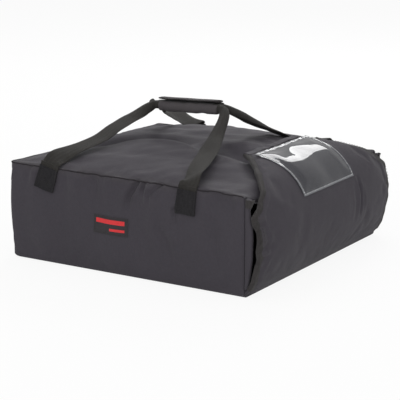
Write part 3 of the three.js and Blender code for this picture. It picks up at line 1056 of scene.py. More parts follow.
    def rows(self) -> tuple[Points, Points]:
        """Heights of the rows of a side as shares, and how far the rounded foot draws each in."""
        low = np.array([0, 0.12, 0.35, 0.7, 1.0]) * self.foot
        usual = self.near_edge
        high = np.linspace(self.foot, usual, self.cells[2] - 3)[1:]
        heights = np.r_[low, high]
        inward = self.foot - np.sqrt(np.maximum(0, self.foot**2 - np.maximum(self.foot - heights, 0) ** 2))
        return heights / usual, inward

    def plate(self, name: str, level: float) -> bpy.types.Object:
        """The top, at level 1, or the base, at level 0."""

        def place(u: Points, v: Points) -> Points:
            """Lays the panel out in plan and height."""
            x, y = self.plan((2 * u - 1) * self.half_width, (2 * v - 1) * self.half_depth)
            z = self.top_height(x, y) * level
            if level == 0:
                x, y = self.pulled(x, y, np.full_like(x, self.foot))
            return np.c_[x, y, z]

        return grid(name, self.cells[0], self.cells[1], place)

    def wall(
        self, name: str, start: tuple[float, float], end: tuple[float, float], cells: int
    ) -> bpy.types.Object:
        """A side panel between two corners of the plan, in shares of the half sizes."""
        shares, inward = self.rows()

        def place(u: Points, v: Points) -> Points:
            """Lays the panel out along the plan and up to the seam."""
            a, b = np.array(start), np.array(end)
            flat = (a + (b - a) * u[:, None]) * (self.half_width, self.half_depth)
            x, y = self.plan(flat[:, 0], flat[:, 1])
            row = np.rint(v * (len(shares) - 1)).astype(int)
            z = self.top_height(x, y) * shares[row]
            x, y = self.pulled(x, y, inward[row])
            return np.c_[x, y, z]

        return grid(name, cells, len(shares) - 1, place)

    def form(self) -> bpy.types.Object:
        """The closed form, its mouth still covered."""
        nx, ny, _ = self.cells
        panels = [
            self.plate("top", 1.0),
            self.plate("base", 0.0),
            self.wall("left", (-1, -1), (-1, 1), ny),
            self.wall("right", (1, -1), (1, 1), ny),
            self.wall("back", (-1, 1), (1, 1), nx),
            self.wall("cover", (-1, -1), (1, -1), nx),
        ]
        obj = join(panels, "bag_shell")
        edit(
            obj,
            lambda: bpy.ops.mesh.remove_doubles(threshold=2e-5),
            lambda: bpy.ops.mesh.normals_make_consistent(inside=False),
        )
        return obj

    def held(self, points: Points) -> Points:
        """How firmly each point is held while puffed: seams, base, mouth and under the flap."""
        x, y, z = points.T
        from_wall = np.minimum(self.half_width - np.abs(x), self.half_depth - y)
        seam = np.abs(z - self.edge_height(x, y)) + from_wall
        at_seam = 1 - smoothstep(seam, 0.0015, 0.006)
        low = 1 - smoothstep(z, 0.002, 0.012)
        mouth = 1 - smoothstep(y, -0.205, -0.190)
        above_edge = smoothstep(z, self.near_edge, self.near_edge + 0.004)
        under_flap = (1 - smoothstep(y, -0.125, -0.105)) * above_edge
        return np.maximum.reduce([at_seam, low, mouth, under_flap])

    def open_mouth(self, obj: bpy.types.Object) -> None:
        """Takes the cover off the mouth."""
        limit = -self.half_depth + 0.002
        pick_faces(obj, lambda face: face.normal.y < -0.9 and face.center.y < limit)
        bpy.ops.mesh.delete(type="FACE")
        bpy.ops.object.mode_set(mode="OBJECT")

    def refine_sides(self, obj: bpy.types.Object) -> None:
        """Splits the faces of both side panels, which carry the finest folds."""
        pick_faces(obj, lambda face: abs(face.normal.x) > 0.8 and face.center.z > 0.012)
        bpy.ops.mesh.subdivide(number_cuts=1)
        bpy.ops.object.mode_set(mode="OBJECT")

    def crease_seams(self, obj: bpy.types.Object) -> None:
        """Keeps the seam round the top crisp when the form is subdivided."""
        points = places(obj)
        x, y, z = points.T
        gap = np.abs(z - self.top_height(x, y)) + np.minimum(
            np.abs(self.half_width - np.abs(x)), np.abs(self.half_depth - y)
        )
        radial = np.hypot(
            np.abs(x) - self.half_width + self.corner, y - self.half_depth + self.corner
        )
        in_corner = (np.abs(x) > self.half_width - self.corner) & (y > self.half_depth - self.corner)
        gap = np.where(in_corner, np.abs(z - self.edge_height(x, y)) + np.abs(radial - self.corner), gap)
        on_seam = gap < self.seam_reach
        ends = np.array([edge.vertices[:] for edge in obj.data.edges])
        crease = obj.data.attributes.new("crease_edge", "FLOAT", "EDGE")
        crease.data.foreach_set("value", (on_seam[ends].all(1) * self.seam_crease).astype(np.float32))

    def sculpt(self, points: Points, outwards: Points) -> Points:
        """Folds, gathers and ripples the panels, and dips each where it meets the seam.

        Args:
            points: The outer skin.
            outwards: Its normals.

        Returns:
            The moved skin.
        """
        x, y, z = points.T
        side = smoothstep(np.abs(outwards[:, 0]), 0.5, 0.9)
        back = smoothstep(outwards[:, 1], 0.5, 0.9)
        top = smoothstep(outwards[:, 2], 0.6, 0.9)
        rise = np.zeros(len(points))
        seen = np.c_[y, z]
        for fold in self.side_folds:
            rise += side * (x < 0) * fold.height(seen)
            rise += side * (x > 0) * fold.height(seen * (-1, 1)) * 0.8
            rise += back * fold.height(np.c_[x * 0.8, z]) * 0.8
        below = np.maximum(self.edge_height(x, y) - z, 0)
        gather = ripple(np.c_[x + 3, y], 0.030, 5) * np.exp(-below / 0.030) * smoothstep(below, 0.0, 0.010)
        rise += np.maximum(side, back) * gather * self.gather_rise
        level = np.sin(math.pi * np.clip(z / self.near_edge, 0, 1))
        rise += back * self.back_bulge * level * (1 - (x / self.half_width) ** 8)
        upright = points * (1, 1, 0.45)
        walls = np.maximum(side, back * self.back_share)
        rise += walls * ripple(upright, 0.062, 8) * self.wall_ripple * smoothstep(z, 0.004, 0.03)
        from_seam = np.minimum.reduce([self.half_width - np.abs(x), self.half_depth - y])
        rise += top * ripple(points[:, :2], 0.070, 3) * self.top_ripple * smoothstep(from_seam, 0.0, 0.03)
        rise += top * ripple(points[:, :2], 0.028, 4) * self.top_crumple * smoothstep(from_seam, 0.0, 0.02)
        dip = np.exp(-((below / self.seam_width) ** 2)) * np.maximum(side, back)
        dip += np.exp(-((from_seam / self.seam_width) ** 2)) * top
        rise -= self.seam_dip * dip
        keep = smoothstep(y, -0.2105, -0.200)
        from_mouth = (y + self.half_depth) / self.rim_reach
        rim = self.rim_round * np.exp(-(from_mouth**2)) * smoothstep(z, 0.0, 0.02)
        return points + outwards * (rise * keep - rim)[:, None]

    def build(self) -> bpy.types.Object:
        """Makes the shell, its lining and the piping along its seam.

        Returns:
            The shell.
        """
        obj = self.form()
        self.puff.run(obj, self.held(places(obj)))
        base = places(obj)
        base[:, 2] = np.maximum(base[:, 2], 0)
        put(obj, base)
        self.crease_seams(obj)
        self.open_mouth(obj)
        self.line(copy(obj, "bag_lining"))
        subdivide(obj)
        self.refine_sides(obj)
        outer = len(obj.data.vertices)
        thicken(obj, self.padding)
        points, outwards = places(obj), normals(obj)
        points[:outer] = self.sculpt(points[:outer], outwards[:outer])
        points[:, 2] = np.maximum(points[:, 2], 0)
        put(obj, points)
        self.wear(obj)
        show(obj, Finish.SHELL, "bag", self.layer("shell"))
        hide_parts(*self.layer("foam"))
        self.pipe(obj)
        return obj

    def wear(self, obj: bpy.types.Object) -> None:
        """Marks the rubbed places: seams, corners and the foot."""
        points = places(obj)
        x, y, z = points.T
        below = np.abs(self.edge_height(x, y) - z)
        edge = np.exp(-((np.minimum(below, z + 0.004) / 0.006) ** 2))
        side = np.minimum(self.half_width - np.abs(x), np.abs(self.half_depth - y))
        set_wear_and_border_highlight(obj, edge * smoothstep(0.02 - side, 0, 0.02) * (0.6 + 0.4 * ripple(points, 0.03, 17)))

    def line(self, obj: bpy.types.Object) -> None:
        """Turns a copy of the form into the lining.

        Args:
            obj: The copy.
        """
        points = places(obj) - normals(obj) * (self.padding + self.lining_gap)
        back = -self.half_depth
        points[:, 1] = np.where(places(obj)[:, 1] < back + 1e-4, back + 0.0006, points[:, 1])
        put(obj, points)
        thicken(obj, self.lining)
        show(obj, Finish.LINING, "bag", self.layer("lining"))

    def pipe(self, shell: bpy.types.Object) -> None:
        """Runs a thin piping along the seam round the top of the shell."""
        reach, back = self.half_width, self.half_depth
        steps = self.piping_steps
        left = np.c_[np.full(steps, -reach), np.linspace(-back, back, steps)]
        rear = np.c_[np.linspace(-reach, reach, steps), np.full(steps, back)][1:-1]
        flat = np.concatenate([left, rear, left[::-1] * (-1, 1)])
        x, y = self.plan(flat[:, 0], flat[:, 1])
        out = np.c_[np.sign(x) * (np.abs(x) >= reach - self.corner), (y >= back - self.corner) * 1.0]
        out = out / np.maximum(np.linalg.norm(out, axis=1), 1)[:, None]
        line = np.c_[x, y, self.edge_height(x, y)]
        outwards = np.c_[out, np.full(len(out), 0.5)]
        tree = tree_of(shell)
        line = np.array([tree.find_nearest(Vector(p + o * 0.002))[0][:] for p, o in zip(line, outwards)])
        tube = round_tube("top_piping", line, self.piping, 8)
        show(tube, Finish.PIPING, "bag")


def frames_along(line: Points) -> tuple[Points, Points, Points]:
    """Directions along a line, level across it and square to both."""
    way = np.gradient(line, axis=0)
    way /= np.linalg.norm(way, axis=1)[:, None]
    side = np.cross(way, (0.0, 0.0, 1.0))
    side /= np.maximum(np.linalg.norm(side, axis=1), TINY)[:, None]
    return way, side, np.cross(side, way)


def round_tube(name: str, line: Points, radius: float, sides: int) -> bpy.types.Object:
    """A round cord of cloth along a line."""
    _, side, up = frames_along(line)
    turn = np.linspace(0, 2 * math.pi, sides, endpoint=False)
    ring = np.cos(turn)[:, None] * side[:, None] + np.sin(turn)[:, None] * up[:, None]
    return loft(name, line[:, None] + radius * ring)


# The flap


@dataclass(frozen=True)
class Arc:
    """A bend in the flap's side view, by its centre, radius and angles from level."""

    out: float
    height: float
    radius: float
    start: float
    turn: float

    @property
    def length(self) -> float:
        """Length along the bend."""
        return self.radius * math.radians(self.turn)

    def after(self, radius: float, turn: float) -> Arc:
        """The next bend, which goes on smoothly from the end of this one."""
        end = math.radians(self.start + self.turn)
        shift = self.radius - radius
        out, height = self.out + shift * math.cos(end), self.height + shift * math.sin(end)
        return Arc(out, height, radius, self.start + self.turn, turn)


def flap_arcs() -> list[Arc]:
    """The bends from the rolled foot to the end of the tip."""
    low = Arc(-0.0625, 0.076, 0.098, -50.0, 50.0)
    high = low.after(0.136, 21.5)
    shoulder = high.after(0.061, 44.5)
    return [low, high, shoulder, shoulder.after(0.298, 15.0)]


@dataclass
class Flap:
    """The padded flap: one form, cut in two at its belly."""

    half_width: float = 0.2105
    front: float = -0.211
    tip_half_width: float = 0.076
    taper: float = 1.15
    thick: float = 0.0084
    edge_round: float = 0.010
    edge_power: float = 6.0
    bound_edge: float = 0.0044
    pressed: tuple[float, float] = (0.0055, 0.0185)
    bound_reach: tuple[float, float] = (0.012, 0.014)
    crown: float = 0.0032
    crown_at: float = 0.192
    crown_reach: float = 0.040
    outer_cells: int = 80
    rings: int = 68
    cut: float = 0.080
    wide_ripple: float = 0.0007
    fine_ripple: float = 0.00012
    arcs: list[Arc] = field(default_factory=flap_arcs)
    pinches: dict[int, tuple[tuple[float, float, float], ...]] = field(
        default_factory=lambda: {
            -1: (
                (0.127, 0.008, 0.0026), (0.104, 0.010, -0.0020),
                (0.079, 0.007, 0.0024), (0.060, 0.009, -0.0014),
            ),
            1: ((0.132, 0.012, 0.0014), (0.100, 0.012, -0.0012), (0.074, 0.010, 0.0012)),
        }
    )
    puff: Puff = field(default_factory=lambda: Puff(2.6, 0.004, 0.0035, 20, 0.6))
    folds: tuple[Fold, ...] = (
        Fold(((0.090, 0.137), (0.091, 0.112), (0.088, 0.070)), 0.0034, 0.0030, False),
        Fold(((0.074, 0.126), (0.073, 0.092), (0.070, 0.064)), 0.0012, 0.0040, False),
        Fold(((0.096, 0.120), (0.100, 0.090), (0.099, 0.076)), 0.0012, 0.0034, False),
        Fold(((0.111, 0.075), (0.126, 0.030)), 0.0012, 0.0080, False),
        Fold(((-0.090, 0.130), (-0.100, 0.090), (-0.098, 0.050)), 0.0009, 0.0100, False),
        Fold(((-0.214, 0.128), (-0.190, 0.122)), 0.0042, 0.0045),
        Fold(((-0.214, 0.082), (-0.194, 0.088), (-0.176, 0.084)), 0.0036, 0.0050),
        Fold(((-0.214, 0.068), (-0.186, 0.072)), 0.0030, 0.0045),
        Fold(((0.214, 0.105), (0.188, 0.100)), 0.0030, 0.0060),
        Fold(((0.214, 0.070), (0.192, 0.074)), 0.0026, 0.0050),
        Fold(((-0.150, 0.060), (-0.160, 0.028)), 0.0010, 0.0090, False),
        Fold(((-0.196, 0.126), (-0.193, 0.104), (-0.195, 0.082)), 0.0022, 0.0036, False),
        Fold(((-0.197, 0.070), (-0.195, 0.050)), 0.0014, 0.0036, False),
    )

    @property
    def length(self) -> float:
        """Length along the flap, foot to tip."""
        return sum(arc.length for arc in self.arcs)

    @property
    def tip_start(self) -> float:
        """Where the taper starts, along the flap."""
        return self.arcs[0].length + self.arcs[1].length

    def side_view(self, s: Points) -> tuple[Points, Points, Points]:
        """Place and slant at each length along the flap.

        Args:
            s: Lengths along the flap.

        Returns:
            How far out of the bag, how high, and the angle of the outward direction.
        """
        out, height, angle = np.zeros_like(s), np.zeros_like(s), np.zeros_like(s)
        start = 0.0
        for k, arc in enumerate(self.arcs):
            here = s >= start - TINY
            if k < len(self.arcs) - 1:
                here &= s < start + arc.length
            turn = np.radians(arc.start) + (s - start) / arc.radius
            out = np.where(here, arc.out + arc.radius * np.cos(turn), out)
            height = np.where(here, arc.height + arc.radius * np.sin(turn), height)
            angle = np.where(here, turn, angle)
            start += arc.length
        return out, height, angle

    def width_at(self, s: Points) -> Points:
        """Half the width at each length along the flap."""
        left = 1 - np.clip((s - self.tip_start) / (self.length - self.tip_start), 0, 1)
        tip = self.tip_half_width + (self.half_width - self.tip_half_width) * left**self.taper
        return np.where(s > self.tip_start, tip, self.half_width)

    def point(self, x: Points, s: Points, depth: Points) -> Points:
        """A point at a depth below the outside of the flap."""
        out, height, angle = self.side_view(s)
        outwards = (np.abs(x) / self.half_width) ** self.edge_power
        inset = self.edge_round * smoothstep(height, 0, 0.05) * outwards
        inward = depth + inset
        return np.c_[x, self.front - out + inward * np.cos(angle), height - inward * np.sin(angle)]

    def outward(self, s: Points) -> Points:
        """The direction out of the flap."""
        angle = self.side_view(s)[2]
        return np.c_[np.zeros_like(angle), -np.cos(angle), np.sin(angle)]

    def edge_thickness(self, s: Points, inside: Points) -> Points:
        """Thickness at a distance inside the side edge, which the tape presses flat."""
        full = self.thick - self.bound_edge
        side = self.bound_edge + full * smoothstep(inside, *self.pressed)
        end = self.bound_edge + full * smoothstep(self.length - s, *self.pressed)
        return np.minimum(side, end)

    def stray(self, side: int, s: Points) -> Points:
        """How far the side edge strays outwards at each length along the flap."""
        wave = ripple(np.c_[s, s * 0.3], 0.045, 25 + side) * 0.0011
        for at, width, depth in self.pinches[side]:
            wave = wave + depth * np.exp(-(((s - at) / width) ** 2))
        return wave * smoothstep(s, 0.006, 0.03) * smoothstep(self.length - s, 0.02, 0.06)

    def form(self) -> bpy.types.Object:
        """The closed padded form."""
        s_places = np.linspace(0, self.length, self.rings)
        across = np.linspace(-1, 1, self.outer_cells + 1)
        across = np.sign(across) * (1 - (1 - np.abs(across)) ** 1.15)
        rings = []
        for s in s_places:
            half = float(self.width_at(np.array([s]))[0])
            here = np.full_like(across, s)
            stray = np.where(across < 0, -self.stray(-1, here), self.stray(1, here))
            x = across * half + stray * np.abs(across) ** 8
            thick = self.edge_thickness(here, half - np.abs(x))
            sink = (self.thick - thick) * 0.5
            outer = self.point(x, here, sink)
            inner = self.point(x, here, self.thick - sink)
            rings.append(np.concatenate([outer, inner[::-1]]))
        closed = [(ring + ring[::-1]) / 2 for ring in (rings[0], rings[-1])]
        return loft("flap", np.array([closed[0], *rings, closed[1]]))

    def coordinates(self, points: Points) -> tuple[Points, Points]:
        """Finds how far along the flap and how deep below its outside points lie."""
        s = np.linspace(0, self.length, 800)
        out, height, angle = self.side_view(s)
        y_line = self.front - out
        best = np.zeros(len(points))
        depth = np.zeros(len(points))
        for first in range(0, len(points), 4000):
            part = points[first : first + 4000]
            far = np.hypot(part[:, 1, None] - y_line, part[:, 2, None] - height)
            k = far.argmin(1)
            best[first : first + 4000] = s[k]
            depth[first : first + 4000] = (part[:, 1] - y_line[k]) * np.cos(angle[k]) - (
                part[:, 2] - height[k]
            ) * np.sin(angle[k])
        return best, depth

    def build(self) -> bpy.types.Object:
        """Makes the flap.

        Returns:
            The whole flap's outside, for what is laid on it.
        """
        obj = self.form()
        points = places(obj)
        s, depth = self.coordinates(points)
        inset = self.edge_round * (np.abs(points[:, 0]) / self.half_width) ** self.edge_power
        inner = depth - inset > self.thick * 0.55
        edge = self.width_at(s) - np.abs(points[:, 0])
        bound = (edge < self.bound_reach[0]) | (self.length - s < self.bound_reach[1])
        foot = 1 - smoothstep(s, 0.012, 0.03)
        end = smoothstep(s, self.length - 0.02, self.length - 0.01)
        held = np.maximum.reduce([inner * 1.0, bound * 1.0, foot, end])
        self.puff.run(obj, held)
        subdivide(obj)
        points, outwards = places(obj), normals(obj)
        s, depth = self.coordinates(points)
        outer = smoothstep((outwards * self.outward(s)).sum(1), 0.1, 0.5)
        where = np.c_[points[:, 0], s]
        crown = np.exp(-(((s - self.crown_at) / self.crown_reach) ** 2) - (points[:, 0] / 0.16) ** 4)
        wide, fine = ripple(where * (1, 0.6), 0.090, 21), ripple(where * (1, 0.35), 0.030, 22)
        rise = crown * self.crown + wide * self.wide_ripple + fine * self.fine_ripple
        for fold in self.folds:
            rise = rise + fold.height(where)
        edge = self.width_at(s) - np.abs(points[:, 0])
        calm = smoothstep(self.length - s, 0.006, 0.03) * smoothstep(s, 0.004, 0.02)
        calm = calm * (0.25 + 0.75 * smoothstep(edge, 0.004, 0.014))
        points = points + outwards * (rise * outer * calm)[:, None]
        points[:, 2] = np.maximum(points[:, 2], 0.0004)
        put(obj, points)
        set_wear_and_border_highlight(obj, smoothstep(0.020 - edge, 0, 0.012) * 0.3 * (1 + ripple(where, 0.02, 26)))
        self.split(obj)
        return obj

    def split(self, obj: bpy.types.Object) -> None:
        """Cuts copies of the flap at its belly into a lower and an upper half, each lined inside."""
        for name, keep_low, parts in (
            ("flap_lower", True, ("roll",)),
            ("flap_upper", False, ("front", "tip")),
        ):
            nodes = [f"{layer}_{part}" for part in parts for layer in ("shell", "foam", "lining")]
            half = copy(obj, name)
            edit(
                half,
                lambda low=keep_low: bpy.ops.mesh.bisect(
                    plane_co=(0, 0, self.cut),
                    plane_no=(0, 0, 1),
                    use_fill=True,
                    clear_outer=low,
                    clear_inner=not low,
                ),
            )
            self.add_lining(half)
            show(half, Finish.SHELL, None, nodes, 60)
        blend_hinge(bpy.data.objects["flap_lower"])
        blend_peel(bpy.data.objects["flap_upper"])

    def add_lining(self, obj: bpy.types.Object) -> None:
        """Gives the inside of the flap the lining's finish."""
        obj.data.materials.append(Finish.SHELL.material())
        obj.data.materials.append(Finish.LINING.material())
        s, _ = self.coordinates(read(obj.data.polygons, "center"))
        inside = (read(obj.data.polygons, "normal") * self.outward(s)).sum(1) < -0.3
        obj.data.polygons.foreach_set("material_index", inside.astype(np.int32))


def blend_hinge(obj: bpy.types.Object) -> None:
    """Bakes a piece's place into its mesh; it is left unattached."""
    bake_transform(obj)


def blend_peel(obj: bpy.types.Object) -> None:
    """Bakes a piece's place into its mesh; it is left unattached."""
    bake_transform(obj)


@dataclass
class TipTrim:
    """Binding tape round the tip, and the clear ticket pocket on it."""

    flap: Flap
    skin: bpy.types.Object
    fold: float = 0.0085
    tape: float = 0.0010
    pocket_width: float = 0.160
    pocket_length: float = 0.104
    pocket_from_end: float = 0.020
    film: float = 0.0006
    film_slack: float = 0.0019
    film_clear: float = 0.0008
    film_bridge: float = 0.012
    stitch_inset: float = 0.0026
    stitch_clear: float = 0.0014

    def binding(
        self, name: str, stations: Points, edge: Points, inwards: Points, out: Points, half: float
    ) -> bpy.types.Object:
        """A tape folded round an edge.

        Args:
            name: Name of the piece.
            stations: Distances along the edge, which seed the puckers.
            edge: Middle of the edge.
            inwards: Direction from the edge into the flap.
            out: Direction out of the flap.
            half: Half the thickness that the tape closes round.

        Returns:
            The tape.
        """
        turn = np.linspace(-math.pi / 2, math.pi / 2, 7)
        full = half + self.tape
        outer = [(self.fold, -full), (self.fold * 0.5, -full * 1.04)]
        outer += [(-full * math.cos(t) * 0.7, full * math.sin(t)) for t in turn]
        outer += [(self.fold * 0.5, full * 1.04), (self.fold, full)]
        inner = [(u if u > 0 else u * 0.6, v * half / full) for u, v in reversed(outer)]
        section = np.array(outer + inner)
        pucker = ripple(np.c_[stations, stations * 0.3], 0.013, 31) * 0.0005
        wave = ripple(np.c_[stations, stations * 0.3], 0.030, 32) * 0.0007
        rings = edge[:, None] + section[None, :, :1] * inwards[:, None] + section[None, :, 1:] * out[:, None]
        rings = rings + out[:, None] * pucker[:, None, None] + inwards[:, None] * wave[:, None, None]
        return loft(name, rings)

    def side_tape(self, name: str, side: int, start: float, end: float) -> bpy.types.Object:
        """Binds a stretch of one side edge.

        Args:
            name: Name of the tape.
            side: -1 for the near side, 1 for the far one.
            start: Where it starts, along the flap.
            end: Where it ends.

        Returns:
            The tape.
        """
        flap = self.flap
        s = np.linspace(start, end, max(12, int((end - start) / 0.0018)))
        x = side * (flap.width_at(s) + flap.stray(side, s) - 0.0014)
        edge = flap.point(x, s, np.full_like(s, flap.thick / 2))
        out = flap.outward(s)
        way = np.gradient(edge, axis=0)
        way /= np.linalg.norm(way, axis=1)[:, None]
        inwards = np.cross(out, way)
        inwards *= np.sign((inwards[:, 0] * -side).sum())
        return self.binding(name, s, edge, inwards, out, flap.bound_edge / 2 + 0.0002)

    def sides(self) -> None:
        """Binds both sides, each tape in two at the flap's cut."""
        flap = self.flap
        cut = flap.arcs[0].length + (flap.cut - flap.arcs[0].height)
        for side, word in ((-1, "left"), (1, "right")):
            upper = self.side_tape(f"{word}_tip_tape", side, cut, flap.length - 0.0005)
            show(upper, Finish.BINDING, None, [f"tip_binding_{word}"])
            blend_peel(upper)
            lower = self.side_tape(f"{word}_front_tape", side, 0.012, cut)
            show(lower, Finish.BINDING, None)
            blend_hinge(lower)

    def hem(self) -> None:
        """Binds the end of the tip."""
        flap = self.flap
        x = np.linspace(-flap.tip_half_width - 0.001, flap.tip_half_width + 0.001, 50)
        s = np.full_like(x, flap.length - 0.0015)
        edge = flap.point(x, s, np.full_like(x, flap.thick / 2))
        angle = flap.side_view(s)[2]
        inwards = np.c_[np.zeros_like(x), -np.sin(angle), -np.cos(angle)]
        tape = self.binding("tip_end_hem", x, edge, inwards, flap.outward(s), flap.bound_edge / 2 + 0.0005)
        show(tape, Finish.SHELL, "flap_tip", ["tip_binding_hem"])

    def drawn(self, x: Points, s: Points, clear: Points, reach: float) -> Points:
        """Points of a stiff sheet over the skin, which bridges dips narrower than its reach."""
        flat = self.flap.point(x, s, np.zeros_like(x))
        out = self.flap.outward(s)
        rise = ((lay(flat, self.tree, out, 0.0, 0.012) - flat) * out).sum(1)
        plane = np.c_[x, s]
        smooth = np.empty_like(rise)
        for k in range(0, len(plane), 500):
            away = ((plane[k : k + 500, None] - plane[None]) ** 2).sum(2)
            weight = np.exp(-away / (2 * reach**2))
            smooth[k : k + 500] = (weight * rise).sum(1) / weight.sum(1)
        return flat + out * (np.maximum(smooth, rise - 0.0004) + clear)[:, None]

    def on_skin(self, x: Points, s: Points, clear: float | Points) -> Points:
        """Points of the flap's outside, laid on the puffed skin."""
        flat = self.flap.point(x, s, np.zeros_like(x))
        return lay(flat, self.tree, self.flap.outward(s), clear, 0.012)

    def pocket(self) -> None:
        """Makes the clear pocket with its pressed border and white stitches."""
        flap = self.flap
        start = flap.length - self.pocket_from_end - self.pocket_length
        half = self.pocket_width / 2

        def place(u: Points, v: Points) -> Points:
            """Lays the film on the flap, slack in the middle."""
            x, s = (2 * u - 1) * half, start + v * self.pocket_length
            inside = np.minimum(half - np.abs(x), np.minimum(v, 1 - v) * self.pocket_length)
            slack = self.film_slack * smoothstep(inside, 0.003, 0.024)
            slack = slack * (1 + 0.35 * ripple(np.c_[x, s], 0.10, 41))
            edge = ripple(np.c_[x, s], 0.012, 42) * 0.0003 * (1 - smoothstep(inside, 0.0, 0.01))
            clear = self.film_clear + np.maximum(slack, 0) + edge
            return self.drawn(x, s, clear, self.film_bridge)

        film = grid("clear_pocket", 64, 44, place)
        stretch_map(film, self.pocket_width, self.pocket_length)
        border = place_border(film, self.pocket_width, self.pocket_length)
        # The border mask, which the film's material whitens as a painted highlight.
        set_wear_and_border_highlight(film, 1 - smoothstep(border, 0.0030, 0.0050))
        thicken(film, self.film, 1.0)
        show(film, Finish.FILM, None, ["ticket_pocket"])
        blend_peel(film)

        inset = self.stitch_inset
        a, b = -half + inset, half - inset
        low, high = start + inset, start + self.pocket_length - inset
        corners = [np.array(c) for c in ((a, high), (a, low), (b, low), (b, high), (a, high))]
        line = along_line(corners, 0.0025)
        points = self.on_skin(line[:, 0], line[:, 1], self.stitch_clear)
        sewn = POCKET_THREAD.row("pocket_stitches", [(points, flap.outward(line[:, 1]))])
        show(sewn, Finish.PALE_THREAD, None)
        blend_peel(sewn)

    def hem_stitches(self) -> None:
        """Sews a row inside the end of the tip, and beside the slanted bindings."""
        flap = self.flap
        rows = []
        x = np.linspace(-flap.tip_half_width + 0.010, flap.tip_half_width - 0.010, 90)
        s = np.full_like(x, flap.length - 0.0120)
        rows.append((self.on_skin(x, s, 0.0001), flap.outward(s)))
        for side in (-1, 1):
            s = np.linspace(flap.cut + 0.014, flap.length - 0.012, 130)
            x = side * (flap.width_at(s) + flap.stray(side, s) - 0.0064)
            rows.append((self.on_skin(x, s, 0.0026), flap.outward(s)))
        sewn = TIP_THREAD.row("tip_stitches", rows)
        show(sewn, Finish.THREAD, None)
        blend_peel(sewn)

    def build(self) -> None:
        """Makes all the trim of the tip."""
        self.tree = tree_of(self.skin)
        self.sides()
        self.hem()
        self.pocket()
        self.hem_stitches()


def place_border(obj: bpy.types.Object, width: float, length: float) -> Points:
    """Distance of each vertex of a mapped sheet from its border."""
    across, along = read(obj.data.uv_layers[WEAVE_MAP].data, "uv", 2).T
    border = np.minimum.reduce([across, width - across, along, length - along])
    out = np.zeros(len(obj.data.vertices))
    out[read(obj.data.loops, "vertex_index", 1)] = border
    return out


# Mouth


@dataclass
class MouthTrim:
    """Rolled hems beside the mouth and the small tabs at their heads."""

    half_width: float = 0.212
    front: float = -0.2113
    thick: float = 0.0086
    foot: float = 0.012
    head_drop: float = 0.004
    hem_rows: int = 56
    hem_sides: int = 24
    words: dict[int, str] = field(default_factory=lambda: {-1: "left", 1: "right"})
    heights: tuple[float, ...] = (
        0.012, 0.024, 0.045, 0.062, 0.090, 0.105, 0.118, 0.127, 0.132, 0.1375, 0.147,
    )
    depths: tuple[float, ...] = (
        0.003, 0.006, 0.0092, 0.011, 0.0116, 0.0108, 0.0084, 0.0064, 0.0064, 0.0088, 0.013,
    )
    tab_height: float = 0.0120
    tab_length: float = 0.0165
    tab_thick: float = 0.0011
    tab_bend: float = 0.0016

    def depth(self, z: Points) -> Points:
        """How far the hem stands out of the mouth at each height."""
        return np.interp(z, self.heights, self.depths)

    def hem(self, side: int) -> None:
        """Makes one rolled hem, whose depth varies up the mouth."""
        top = float(BagShell().edge_height(side * self.half_width, self.front)) - self.head_drop
        z = np.linspace(self.foot, top, self.hem_rows)
        depth = self.depth(z) * np.sqrt(np.clip((top + 0.0008 - z) / 0.005, 0.15, 1))
        turn = np.linspace(0, 2 * math.pi, self.hem_sides, endpoint=False)
        round_x = np.sign(np.cos(turn)) * np.abs(np.cos(turn)) ** 0.8 * 0.5
        round_y = np.sign(np.sin(turn)) * np.abs(np.sin(turn)) ** 0.85 * 0.5
        wave = ripple(np.c_[z, z * 0.2], 0.045, 53 + side) * 0.0005
        swell = 1 + 0.06 * ripple(np.c_[z, z * 0.3], 0.022, 57 + side)
        centre = side * (self.half_width - self.thick / 2 + wave)
        x = centre[:, None] + round_x * (self.thick * swell)[:, None]
        y = self.front + 0.001 - (depth[:, None] + 0.001) * (0.5 - round_y)
        word = self.words[side]
        obj = loft(f"{word}_mouth_roll", np.stack([x, y, np.broadcast_to(z[:, None], x.shape)], 2))
        subdivide(obj)
        show(obj, Finish.SHELL, "bag", [f"mouth_hem_{word}"])
        self.tab(side, top)

    def tab(self, side: int, top: float) -> None:
        """Makes the small tab that is folded round the head of a hem."""
        word = self.words[side]
        x0, x1 = self.half_width + 0.0006, self.half_width - 0.0060

        def place(u: Points, v: Points) -> Points:
            """Lays the tab along the side, round the corner and over the front of the hem."""
            z = top - 0.0005 - self.tab_height * (1 - v)
            face = self.front - self.depth(z) + 0.0006
            turn = np.clip((u - 0.45) / 0.2, 0, 1) * math.pi / 2
            along_side = np.minimum(u / 0.45, 1)
            over, r = np.clip((u - 0.65) / 0.35, 0, 1), self.tab_bend
            x = x0 - r + r * np.cos(turn) - over * (x0 - r - x1)
            y = self.front - 0.002 + (face + r - self.front + 0.002) * along_side - r * np.sin(turn)
            return np.c_[side * x, y, z + 0.0003 * np.sin(u * 20)]

        obj = grid(f"{word}_corner_tab", 26, 12, place)
        stretch_map(obj, self.tab_length, self.tab_height)
        edit(obj, lambda: bpy.ops.mesh.normals_make_consistent(inside=False))
        face_sideways(obj, side)
        thicken(obj, self.tab_thick, 1.0)
        show(obj, Finish.BINDING, "bag", [f"mouth_tab_{word}"])

    def build(self) -> None:
        """Makes both sides."""
        self.hem(-1)
        self.hem(1)


# Carrying loops


